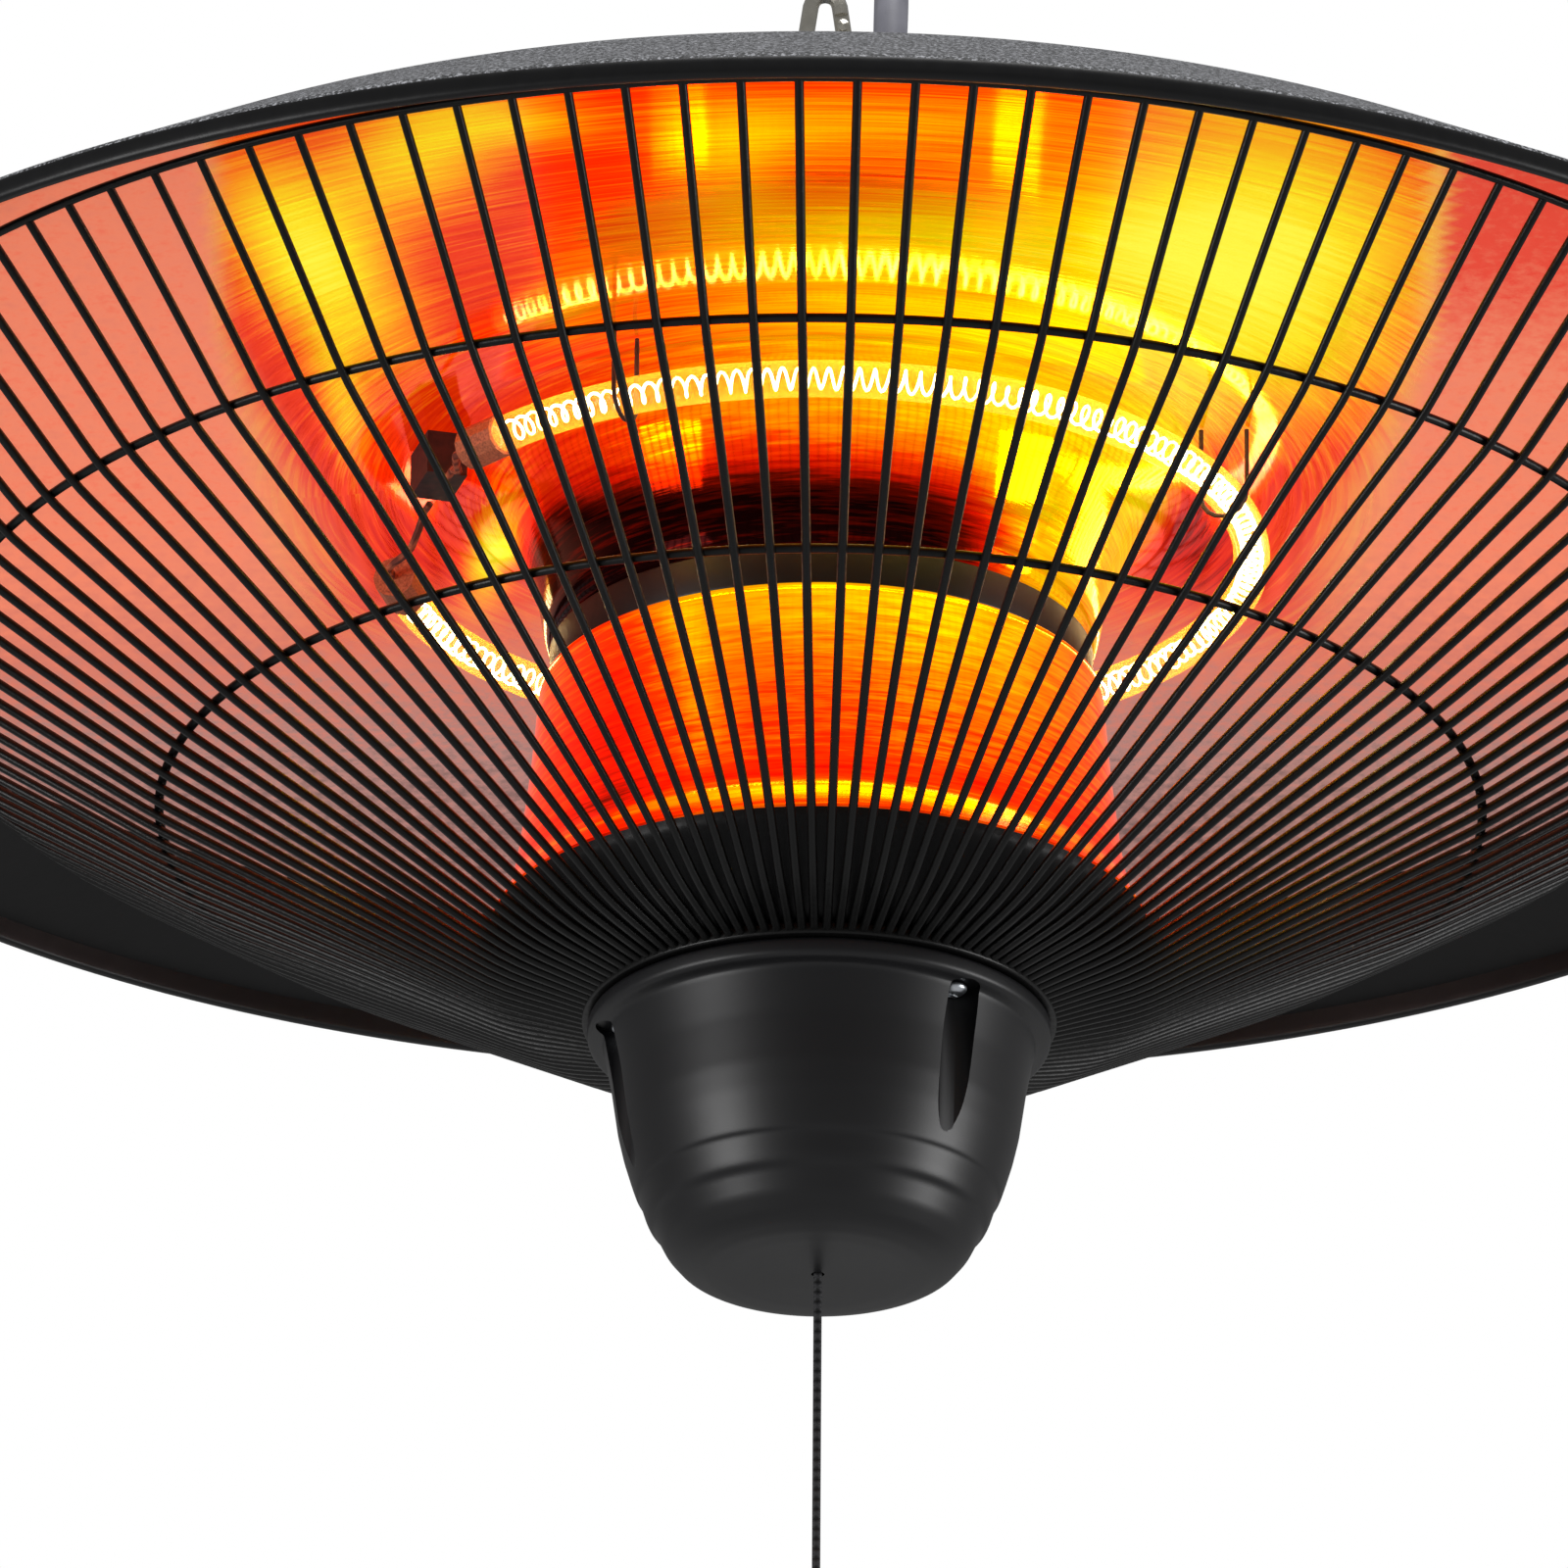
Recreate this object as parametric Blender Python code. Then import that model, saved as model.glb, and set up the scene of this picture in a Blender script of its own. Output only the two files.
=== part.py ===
"""Hanging infrared heater: steel canopy, ring lamp, wire guard and pull switch below a snap hook.

Metres, +Z up. The origin is where the snap hook bears on what holds it, and the heater swings about X.
Heights that end in _H are measured up from the plane of the guard's inner ring.
"""
from math import asin, cos, hypot, pi, radians, sin, tan, tau

import bmesh
import bpy
from mathutils import Vector

MM = 0.001
GAP = 0.3 * MM

# Snap hook
HOOK_LENGTH = 47.1 * MM
HOOK_WIRE = 4.0 * MM
HOOK_TOP_R = 3.6 * MM
HOOK_BOTTOM_R = 9.0 * MM
GATE_HINGE_DROP = 7.1 * MM
GATE_LENGTH = 26.0 * MM
GATE_SLOT = 2.0 * MM
GATE_OVERHANG = 2.2 * MM
GATE_SLOT_DEPTH = 3.8 * MM
TONGUE_THICK = 1.4 * MM
TONGUE_LENGTH = 3.6 * MM
RIVET_R = 0.8 * MM
RIVET_HEAD_R = 1.5 * MM
RIVET_HEAD_H = 0.8 * MM

# Eye bolt and what it clamps
EYE_WIRE = 5.0 * MM
EYE_HOLE_R = 6.0 * MM
EYE_HEIGHT = 35.0 * MM
EYE_SHANK_R = 3.0 * MM
EYE_SHANK_REACH = 17.0 * MM
EYE_NUT_AF = 10.0 * MM
EYE_NUT_H = 5.0 * MM
TOP_PLATE_R = 36.0 * MM
TOP_PLATE_T = 2.0 * MM
COUPLING_AF = 17.0 * MM
COUPLING_H = 28.0 * MM
COUPLING_THREAD_H = 13.0 * MM

# Canopy
CANOPY_R = 300.0 * MM
CANOPY_T = 1.0 * MM
CANOPY_H = 129.0 * MM
PLATEAU_R = 160.0 * MM
CREASE_H = 97.0 * MM
SKIRT_RUN = 60.0 * MM
SKIRT_SLOPE = radians(30)
LIP_DROP = 5.4 * MM
LIP_EASE = 2.4 * MM
HEM_T = 3.0 * MM
HEM_EDGE = 1.0 * MM
CANOPY_STEPS = 40

# Reflector and hub
REFLECTOR_T = 0.8 * MM
REFLECTOR_WALL = ((70.0 * MM, 62.0 * MM), (78.0 * MM, 80.0 * MM))
REFLECTOR_CREST = (92.0 * MM, 88.5 * MM)
REFLECTOR_FLAT = ((122.0 * MM, 84.2 * MM), (158.0 * MM, 84.2 * MM))
REFLECTOR_EDGE_INSET = 66.0 * MM
REFLECTOR_EDGE_H = 92.6 * MM
REFLECTOR_SEAT = 3.0 * MM
REFLECTOR_BEND = 0.5 * MM
REFLECTOR_STEPS = 36
FEED_HOLE_DEPTH = 12.0 * MM
NECK_R = 66.3 * MM
NECK_TAPER = 0.8 * MM
HUB_STEPS = 30
DISC_STEPS = 24
NECK_BORE_R = 58.0 * MM
NECK_TOP_H = 43.0 * MM
NECK_HEIGHT = 9.7 * MM
SKIRT_T = 0.8 * MM
SKIRT_SEAT_R = 60.0 * MM
SKIRT_LINE = ((68.4 * MM, 33.0 * MM), (70.5 * MM, 10.0 * MM), (73.0 * MM, -10.0 * MM), (75.2 * MM, -22.0 * MM))
BASE_R = 80.0 * MM
BASE_LINE = ((72.0 * MM, -41.5 * MM), (79.5 * MM, -34.0 * MM))
BASE_T = 1.2 * MM
BASE_RIM_H = -31.3 * MM
BASE_SEAT_R = 58.0 * MM
CLAMP_PLATE_R = 62.0 * MM
CLAMP_PLATE_T = 2.0 * MM
TUBE_R = 5.0 * MM
TUBE_WALL = 1.0 * MM
TUBE_NUT_AF = 16.0 * MM
TUBE_NUT_H = 6.0 * MM
TUBE_BELOW_NUT = 3.0 * MM
TUBE_ENTRY = 14.0 * MM
WINDOW_H = 20.0 * MM
WINDOW_W = 5.2 * MM
WINDOW_ABOVE_NUT = 3.0 * MM

# Wire guard
WIRE_COUNT = 120
WIRE_SIDE = 2.5 * MM
WIRE_PHASE = radians(1.57)
OUTER_RING_INSET = 40.2 * MM
OUTER_RING_H = 75.4 * MM
MIDDLE_RING_SHARE = 0.828
MIDDLE_RING_H = 34.5 * MM
INNER_RING_SHARE = 0.6174
RING_WIRE_R = 1.125 * MM
KNEE_R = 78.0 * MM
KNEE_H = -47.0 * MM
COLLAR_R = 57.5 * MM
COLLAR_BORE_R = 52.5 * MM
COLLAR_TOP_H = -51.4 * MM
COLLAR_T = 3.0 * MM
CLIP_AZIMUTHS = (radians(27), radians(153), radians(-153), radians(-27))
CLIP_WIDTH = 8.0 * MM
CLIP_T = 1.0 * MM
CLIP_WELD_L = 13.0 * MM
CLIP_LEG_RUN = 7.0 * MM
CLIP_SEAT_OUT = 4.2 * MM
CLIP_SEAT_IN = 1.3 * MM
CLIP_TIP_L = 1.5 * MM
CLIP_TIP_RISE = 2.5 * MM

# Lamp
LAMP_R = 104.8 * MM
LAMP_H = 69.3 * MM
QUARTZ_R = 4.5 * MM
QUARTZ_WALL = 1.0 * MM
LAMP_START = radians(-137)
LAMP_SWEEP = radians(303)
LAMP_STEPS = 24
FILAMENT_R = 2.2 * MM
FILAMENT_WIRE_R = 0.35 * MM
FILAMENT_CURLS = 16
CURL_POINTS = 8
LAMP_CAP_R = 5.2 * MM
LAMP_CAP_L = 12.0 * MM
LAMP_LEAD_R = 1.0 * MM
LAMP_CLIP_AZIMUTHS = (radians(-117), radians(-22), radians(100))
LAMP_CLIP_WIRE_R = 0.6 * MM
LAMP_CLIP_CLEARANCE = 0.8 * MM
HOLDER_R = 97.0 * MM
HOLDER_AZIMUTH = radians(196)
HOLDER_SIZE = (10.0 * MM, 16.0 * MM, 12.0 * MM)
HOLDER_CLEARANCE = 1.0 * MM
LEAD_BEND = 5.0 * MM
LEAD_SAG = 2.0 * MM
FEED_HOLE_R = 2.5 * MM
FEED_LEAD_R = 1.7 * MM

# Wiring above the reflector
BLOCK_LOW = (24.0 * MM, -15.0 * MM)
BLOCK_HIGH = (40.0 * MM, 15.0 * MM)
BLOCK_H = 14.0 * MM
BLOCK_ENTRY_X = 32.0 * MM
BLOCK_ENTRY_Y = 8.0 * MM
SUPPLY_LEAD_R = 3.0 * MM
SUPPLY_BEND = (20.0 * MM, 20.0 * MM, 92.0 * MM)
FEED_BEND = (16.0 * MM, -26.0 * MM, 88.0 * MM)
FEED_OVER = ((40.0 * MM, radians(250), 93.5 * MM), (70.0 * MM, radians(212), 97.5 * MM),
             (90.0 * MM, radians(198), 98.5 * MM))
SWITCH_LEAD_R = 1.5 * MM

# Switch cup and pull switch
CUP_FLANGE_R = 56.0 * MM
CUP_FLANGE_T = 5.2 * MM
CUP_H = 64.6 * MM
CUP_WALL_LINE = ((52.2 * MM, 0.5 * MM), (48.4 * MM, 22.9 * MM), (45.3 * MM, 34.7 * MM), (40.5 * MM, 46.3 * MM),
                 (36.4 * MM, 53.7 * MM))
CUP_BOTTOM_R = 30.5 * MM
CUP_WALL = 2.4 * MM
CUP_SCREW_R = 47.8 * MM
CUP_SCREW_AZIMUTHS = (radians(-48), radians(-168), radians(72))
POCKET_R = 4.5 * MM
POCKET_ROOF = 4.0 * MM
LUG_R = 6.4 * MM
SCREW_R = 1.5 * MM
SCREW_HEAD_R = 3.3 * MM
SCREW_HEAD_H = 2.2 * MM
SCREW_END = 2.0 * MM
CORD_R = 1.0 * MM
CORD_HOLE_R = 1.6 * MM
SWITCH_X = (-8.5 * MM, 17.5 * MM)
SWITCH_DEPTH = 17.0 * MM
SWITCH_H = 28.3 * MM
SWITCH_WALL = 1.5 * MM
SWITCH_COVER_T = 1.5 * MM
ACTUATOR_R = 3.6 * MM
ACTUATOR_STEM_R = 1.3 * MM
ACTUATOR_TOP_DROP = 3.0 * MM
ACTUATOR_DISC_T = 2.0 * MM
ACTUATOR_L = 18.0 * MM
SPRING_R = 2.6 * MM
SPRING_WIRE_R = 0.25 * MM
SPRING_CURLS = 5
ROTOR_X = 9.6 * MM
ROTOR_DROP = 14.0 * MM
ROTOR_R = 5.2 * MM
ROTOR_ROOT_R = 4.0 * MM
ROTOR_TEETH = 8
ROTOR_TOOTH_LEAN = 0.1
ROTOR_T = 5.0 * MM
AXLE_R = 1.3 * MM
PULL_CORD_L = 190.0 * MM
KNOB_R = 9.0 * MM
KNOB_L = 29.0 * MM

# Power lead
CABLE_R = 4.0 * MM
GLAND_X = 11.5 * MM
GLAND_Y = 25.0 * MM
GLAND_R = 9.0 * MM
GLAND_THREAD_R = 6.0 * MM
GLAND_H = 15.0 * MM
GLAND_THREAD_L = 9.5 * MM
GLAND_NUT_H = 4.5 * MM
RELIEF_L = 30.0 * MM
RELIEF_ROOT_R = 7.0 * MM
RELIEF_TIP_R = 5.2 * MM
COIL_INNER_R = 42.0 * MM
COIL_PITCH = 8.5 * MM
COIL_HALF_TURNS = 1.5
COIL_TURN_POINTS = 24
COIL_AZIMUTH = radians(120)
TIE_T = 1.2 * MM
TIE_WIDTH = 4.8 * MM
TIE_CLEARANCE = 0.4 * MM
TIE_AZIMUTH = radians(230)
CABLE_RISE = ((11.7, 25.0, 186.0), (13.5, 25.1, 199.0), (15.7, 25.8, 212.0), (16.6, 28.6, 227.0), (16.8, 36.5, 243.0),
              (16.7, 50.0, 254.0), (16.5, 64.0, 256.0), (16.3, 78.0, 251.0), (16.2, 88.0, 240.0), (16.2, 92.5, 226.0),
              (16.2, 93.5, 210.0), (16.0, 91.5, 194.0), (14.6, 86.5, 177.0), (10.6, 78.5, 161.0), (3.0, 69.0, 150.0))
PLUG_START = (-72.0 * MM, 18.0 * MM)
PLUG_HEADING = radians(230)
PLUG_PITCH = radians(10)
PLUG_R = 18.5 * MM
PLUG_REAR_R = 9.0 * MM
PLUG_L = 38.0 * MM
PLUG_TAPER_L = 21.0 * MM
PLUG_RELIEF_L = 25.0 * MM
PIN_R = 2.4 * MM
PIN_L = 19.0 * MM
PIN_SPACING = 19.0 * MM
PLUG_EDGE = 1.0 * MM

# Places that follow from the sizes above
SWING_Z = -HOOK_LENGTH - HOOK_WIRE / 2
EYE_Z = SWING_Z + HOOK_WIRE / 2 + GAP - EYE_HOLE_R
TOP_PLATE_Z = EYE_Z - EYE_HEIGHT
CROWN_Z = TOP_PLATE_Z - TOP_PLATE_T - GAP
DATUM_Z = CROWN_Z - CANOPY_H
UNDERSIDE_H = CANOPY_H - CANOPY_T
CREASE_R = CANOPY_R - SKIRT_RUN
LIP_TOP_H = CREASE_H - SKIRT_RUN * tan(SKIRT_SLOPE)
LIP_LOW_H = LIP_TOP_H - LIP_DROP
REFLECTOR_EDGE_R = CANOPY_R - REFLECTOR_EDGE_INSET
OUTER_RING_R = CANOPY_R - OUTER_RING_INSET
MIDDLE_RING_R = MIDDLE_RING_SHARE * OUTER_RING_R
INNER_RING_R = INNER_RING_SHARE * OUTER_RING_R
SKIRT_DROP_T = CANOPY_T / cos(SKIRT_SLOPE)
CUP_TOP_H = COLLAR_TOP_H - COLLAR_T - GAP
CUP_BOTTOM_H = CUP_TOP_H - CUP_H
CUP_FLOOR_H = CUP_BOTTOM_H + CUP_WALL
BASE_UNDER_H = COLLAR_TOP_H + GAP
PLATE_TOP_H = CANOPY_H + GAP + TOP_PLATE_T
GLAND_TOP_H = PLATE_TOP_H + GAP + GLAND_H
RELIEF_TOP_H = GLAND_TOP_H + GAP + RELIEF_L
COIL_LOW_H = CANOPY_H + GAP + TIE_T + TIE_CLEARANCE + CABLE_R
COIL_HIGH_H = COIL_LOW_H + COIL_PITCH
COIL_OUTER_R = COIL_INNER_R + COIL_PITCH * COIL_HALF_TURNS
CLAMP_PLATE_H = NECK_TOP_H + GAP + REFLECTOR_T + GAP
SWITCH_FLOOR_H = CUP_FLOOR_H + GAP
SWITCH_TOP_H = SWITCH_FLOOR_H + SWITCH_H


def material(name, colour, roughness, metallic=0.0):
    """One Principled BSDF material for each finish."""
    found = bpy.data.materials.get(name)
    if found:
        return found
    made = bpy.data.materials.new(name)
    made.use_nodes = True
    shader = made.node_tree.nodes["Principled BSDF"]
    shader.inputs["Base Color"].default_value = (*colour, 1)
    shader.inputs["Roughness"].default_value = roughness
    shader.inputs["Metallic"].default_value = metallic
    return made


def body(name, point, parent=None):
    """An empty on the joint's axis, which carries the pieces that move with it."""
    empty = bpy.data.objects.new(name, None)
    bpy.context.scene.collection.objects.link(empty)
    empty.parent = parent
    empty.location = Vector(point) - world_place(parent)
    return empty


def world_place(item):
    """World place of an unturned empty, summed up its chain of parents."""
    place = Vector((0, 0, 0))
    while item:
        place += item.location
        item = item.parent
    return place


def carry(item, carrier, point=(0, 0, DATUM_Z)):
    """Put an object's origin at a point of the world and hang it on its body's empty."""
    bpy.context.scene.collection.objects.link(item)
    item.parent = carrier
    item.location = Vector(point) - world_place(carrier)
    return item


def mesh_object(name, bm, finish, sharp=35):
    """A closed bmesh as an object, shaded smooth except across sharp edges."""
    bmesh.ops.recalc_face_normals(bm, faces=bm.faces[:])
    mesh = bpy.data.meshes.new(name)
    bm.to_mesh(mesh)
    bm.free()
    mesh.materials.append(finish)
    mesh.shade_smooth()
    mesh.set_sharp_from_angle(angle=radians(sharp))
    return bpy.data.objects.new(name, mesh)


def lathe(profile, steps, closed=True):
    """Turn an outline of (radius, height) about Z. An open outline starts and ends on the axis."""
    bm = bmesh.new()
    verts = [bm.verts.new((r, 0, h)) for r, h in profile]
    edges = [bm.edges.new(pair) for pair in zip(verts, verts[1:])]
    if closed:
        edges.append(bm.edges.new((verts[-1], verts[0])))
    bmesh.ops.spin(bm, geom=verts + edges, cent=(0, 0, 0), axis=(0, 0, 1), angle=tau, steps=steps)
    bmesh.ops.remove_doubles(bm, verts=bm.verts[:], dist=1e-6)
    bmesh.ops.dissolve_degenerate(bm, edges=bm.edges[:], dist=1e-7)
    return bm


def loft(loops, closed=False):
    """Join loops of equal count by quads, and cap the two ends unless the loops close on themselves."""
    bm = bmesh.new()
    rings = [[bm.verts.new(point) for point in loop] for loop in loops]
    pairs = list(zip(rings, rings[1:]))
    if closed:
        pairs.append((rings[-1], rings[0]))
    for one, two in pairs:
        for i in range(len(one)):
            j = (i + 1) % len(one)
            bm.faces.new((one[i], one[j], two[j], two[i]))
    if not closed:
        bm.faces.new(rings[0])
        bm.faces.new(rings[-1])
    return bm


def box(low, high):
    """A box between two corners."""
    bm = bmesh.new()
    bmesh.ops.create_cube(bm, size=1)
    for vert in bm.verts:
        vert.co = [low[i] if vert.co[i] < 0 else high[i] for i in range(3)]
    return bm


def cylinder(radius, low, high, steps=12):
    """A cylinder along Z from low to high."""
    return lathe([(0, high), (radius, high), (radius, low), (0, low)], steps, closed=False)


def nut(across_flats, height, bore_r, corners=6, steps=12):
    """A nut from height zero up: a polygon outside, a round bore inside."""
    outside = []
    inside = []
    for i in range(steps):
        angle = tau * i / steps
        off_flat = (angle + pi / corners) % (tau / corners) - pi / corners
        reach = across_flats / 2 / cos(pi / corners - abs(off_flat))
        outside.append((reach * cos(angle), reach * sin(angle)))
        inside.append((bore_r * cos(angle), bore_r * sin(angle)))
    loops = [[(x, y, height) for x, y in outside], [(x, y, 0) for x, y in outside]]
    loops += [[(x, y, 0) for x, y in inside], [(x, y, height) for x, y in inside]]
    return loft(loops, closed=True)


def sheet_profile(points, thickness):
    """Close an outline of sheet metal: the points, then the same line moved left by the thickness."""
    moved = []
    for i, (r, h) in enumerate(points):
        before = points[max(i - 1, 0)]
        after = points[min(i + 1, len(points) - 1)]
        normals = []
        for start, end in ((before, (r, h)), ((r, h), after)):
            run = hypot(end[0] - start[0], end[1] - start[1])
            if run:
                normals.append(Vector((start[1] - end[1], end[0] - start[0])) / run)
        mitre = sum(normals, Vector((0, 0))).normalized()
        reach = thickness / mitre.dot(normals[0])
        moved.append((r + mitre.x * reach, h + mitre.y * reach))
    return list(points) + moved[::-1]


def strip(profile, width):
    """A flat outline of (x, z) points made width deep, centred on Y."""
    bm = bmesh.new()
    face = bm.faces.new([bm.verts.new((x, -width / 2, z)) for x, z in profile])
    grown = bmesh.ops.extrude_face_region(bm, geom=[face])["geom"]
    bmesh.ops.translate(bm, vec=(0, width, 0), verts=[g for g in grown if isinstance(g, bmesh.types.BMVert)])
    return bm


def tube(name, points, radius, finish, resolution=2, closed=False):
    """A round wire or cord along a list of points."""
    curve = bpy.data.curves.new(name, "CURVE")
    curve.dimensions = "3D"
    curve.bevel_depth = radius
    curve.bevel_resolution = resolution
    curve.use_fill_caps = not closed
    spline = curve.splines.new("POLY")
    spline.points.add(len(points) - 1)
    for slot, point in zip(spline.points, points):
        slot.co = (*point, 1)
    spline.use_cyclic_u = closed
    curve.materials.append(finish)
    return bpy.data.objects.new(name, curve)


def wire_mesh(name, points, radius, finish, closed=False):
    """The same round wire as a mesh, which can take Booleans."""
    wire = tube(name + "_path", points, radius, finish, closed=closed)
    bpy.context.scene.collection.objects.link(wire)
    graph = bpy.context.evaluated_depsgraph_get()
    bm = bmesh.new()
    bm.from_mesh(wire.evaluated_get(graph).to_mesh())
    bmesh.ops.remove_doubles(bm, verts=bm.verts[:], dist=1e-6)
    bpy.data.objects.remove(wire, do_unlink=True)
    return mesh_object(name, bm, finish)


def change(item, other, operation):
    """Add a Boolean to an object and turn the other one into a guide."""
    other.hide_render = True
    other.display_type = "WIRE"
    modifier = item.modifiers.new(other.name, "BOOLEAN")
    modifier.operation = operation
    modifier.object = other


def cut(item, other):
    change(item, other, "DIFFERENCE")


def join(item, other):
    change(item, other, "UNION")


def smooth_route(points, step):
    """Points about one step apart on a Catmull-Rom curve through the route's own points."""
    knots = [Vector(point) for point in points]
    knots = [2 * knots[0] - knots[1]] + knots + [2 * knots[-1] - knots[-2]]
    route = []
    for a, b, c, d in zip(knots, knots[1:], knots[2:], knots[3:]):
        count = max(1, round((c - b).length / step))
        for i in range(count):
            t = i / count
            bend = 2 * b + (c - a) * t + (2 * a - 5 * b + 4 * c - d) * t * t + (3 * b - a - 3 * c + d) * t ** 3
            route.append(bend / 2)
    route.append(knots[-2])
    return route


def self_gap(points, radius, reach):
    """Least free space between turns, tested on points more than a reach apart along the tube."""
    least = 1.0
    for i, one in enumerate(points):
        run = 0.0
        for before, other in zip(points[i:], points[i + 1:]):
            run += (other - before).length
            if run > reach:
                least = min(least, (other - one).length - 2 * radius)
    return least


def polar(radius, azimuth, height):
    return Vector((radius * cos(azimuth), radius * sin(azimuth), height))


def canopy_underside(radius):
    """Height of the sloped skirt's lower face."""
    return CREASE_H - SKIRT_DROP_T - (radius - CREASE_R) * tan(SKIRT_SLOPE)


steel = material("nickel_wire", (0.62, 0.61, 0.6), 0.3, 1.0)
zinc = material("zinc_plate", (0.55, 0.56, 0.58), 0.35, 1.0)
canopy_paint = material("textured_grey_paint", (0.09, 0.09, 0.095), 0.75)
black_paint = material("black_paint", (0.02, 0.02, 0.02), 0.45)
guard_paint = material("guard_paint", (0.015, 0.015, 0.015), 0.35)
polished = material("polished_aluminium", (0.8, 0.8, 0.8), 0.2, 1.0)
quartz = material("quartz_glass", (0.95, 0.9, 0.85), 0.05)
tungsten = material("glowing_filament", (1.0, 0.45, 0.1), 0.5)
ceramic = material("white_ceramic", (0.8, 0.78, 0.72), 0.6)
dark_ceramic = material("dark_holder", (0.06, 0.05, 0.05), 0.6)
cup_plastic = material("black_plastic", (0.02, 0.02, 0.022), 0.4)
switch_plastic = material("switch_plastic", (0.75, 0.74, 0.7), 0.5)
cord_black = material("black_cord", (0.015, 0.015, 0.015), 0.9)
cable_grey = material("cable_grey", (0.2, 0.2, 0.21), 0.6)
wire_sleeve = material("heat_sleeve", (0.7, 0.65, 0.55), 0.8)
nickel = material("nickel_pins", (0.7, 0.68, 0.62), 0.25, 1.0)


def leg_direction():
    """Unit direction down the hook's right leg, and the leg's lean from the vertical."""
    span = HOOK_LENGTH - HOOK_TOP_R - HOOK_BOTTOM_R + HOOK_WIRE
    lean = asin((HOOK_BOTTOM_R - HOOK_TOP_R) / span)
    return Vector((sin(lean), 0, -cos(lean))), lean


def hook_points():
    """Wire centre line: gate hinge, top bend, left leg, bottom bend, nose."""
    down, lean = leg_direction()
    top = Vector((0, 0, -HOOK_TOP_R + HOOK_WIRE / 2))
    bottom = Vector((0, 0, -HOOK_LENGTH + HOOK_BOTTOM_R - HOOK_WIRE / 2))
    hinge = gate_hinge()
    points = [hinge + down * GATE_OVERHANG, hinge - down * (TONGUE_LENGTH + GAP)]
    for i in range(9):
        angle = lean + (pi - 2 * lean) * i / 8
        points.append(top + HOOK_TOP_R * Vector((cos(angle), 0, sin(angle))))
    for i in range(13):
        angle = pi - lean + (pi + 2 * lean) * i / 12
        points.append(bottom + HOOK_BOTTOM_R * Vector((cos(angle), 0, sin(angle))))
    points.append(hinge + down * (GATE_LENGTH + GAP))
    return points


def gate_hinge():
    """Rivet centre on the right leg's centre line."""
    down, lean = leg_direction()
    top = Vector((0, 0, -HOOK_TOP_R + HOOK_WIRE / 2))
    leg_top = top + HOOK_TOP_R * Vector((cos(lean), 0, sin(lean)))
    drop = (leg_top.z + GATE_HINGE_DROP) / -down.z
    return leg_top + down * drop


def make_hook(hanger, gate_body):
    down, lean = leg_direction()
    hinge = gate_hinge()
    hook = carry(wire_mesh("hook_body", hook_points(), HOOK_WIRE / 2, steel), hanger, (0, 0, 0))
    reach = HOOK_WIRE
    for side in (-1, 1):
        inner = side * TONGUE_THICK / 2
        outer = side * reach
        low = (-reach, min(inner, outer), -2 * GATE_OVERHANG)
        high = (reach, max(inner, outer), TONGUE_LENGTH)
        flat = carry(mesh_object("tongue_cutter_%d" % side, box(low, high), steel), hanger, hinge)
        flat.rotation_euler.y = -lean
        cut(hook, flat)
    hole = mesh_object("tongue_hole_cutter", cylinder(RIVET_R + GAP, -reach, reach), steel)
    carry(hole, hanger, hinge).rotation_euler.x = pi / 2
    cut(hook, hole)

    gate = mesh_object("hook_gate", cylinder(HOOK_WIRE / 2, -GATE_LENGTH, GATE_OVERHANG), steel)
    carry(gate, gate_body, hinge).rotation_euler.y = -lean
    low = (-reach, -GATE_SLOT / 2, -GATE_SLOT_DEPTH)
    high = (reach, GATE_SLOT / 2, 2 * GATE_OVERHANG)
    slot = carry(mesh_object("gate_slot_cutter", box(low, high), steel), gate_body, hinge)
    slot.rotation_euler.y = -lean
    cut(gate, slot)
    hole = mesh_object("gate_hole_cutter", cylinder(RIVET_R + GAP, -reach, reach), steel)
    carry(hole, gate_body, hinge).rotation_euler.x = pi / 2
    cut(gate, hole)

    shank = HOOK_WIRE / 2 + GAP
    head = shank + RIVET_HEAD_H
    profile = [(0, head), (RIVET_HEAD_R, shank + RIVET_HEAD_H / 3), (RIVET_HEAD_R, shank), (RIVET_R, shank)]
    profile += [(r, -h) for r, h in profile[::-1]]
    rivet = mesh_object("gate_rivet", lathe(profile, 12, closed=False), steel)
    carry(rivet, hanger, hinge).rotation_euler.x = pi / 2


def make_eye_bolt(heater):
    ring_r = EYE_HOLE_R + EYE_WIRE / 2
    ring = [ring_r * Vector((0, cos(tau * i / 16), sin(tau * i / 16))) for i in range(16)]
    eye = carry(wire_mesh("eye_bolt", ring, EYE_WIRE / 2, steel, closed=True), heater, (0, 0, EYE_Z))
    shank = cylinder(EYE_SHANK_R, -EYE_HEIGHT - EYE_SHANK_REACH, -ring_r)
    join(eye, carry(mesh_object("eye_shank_guide", shank, steel), heater, (0, 0, EYE_Z)))
    bore = EYE_SHANK_R + GAP
    upper = mesh_object("eye_nut", nut(EYE_NUT_AF, EYE_NUT_H, bore), zinc)
    carry(upper, heater, (0, 0, TOP_PLATE_Z + GAP))
    outline = [(bore, 0), (TOP_PLATE_R, 0), (TOP_PLATE_R, -TOP_PLATE_T), (bore, -TOP_PLATE_T)]
    plate = carry(mesh_object("top_plate", lathe(outline, DISC_STEPS), zinc), heater, (0, 0, TOP_PLATE_Z))
    hole = cylinder(GLAND_THREAD_R + GAP, -2 * TOP_PLATE_T, TOP_PLATE_T)
    cut(plate, carry(mesh_object("plate_gland_cutter", hole, zinc), heater, (GLAND_X, GLAND_Y, TOP_PLATE_Z)))
    make_coupling(heater)


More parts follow.
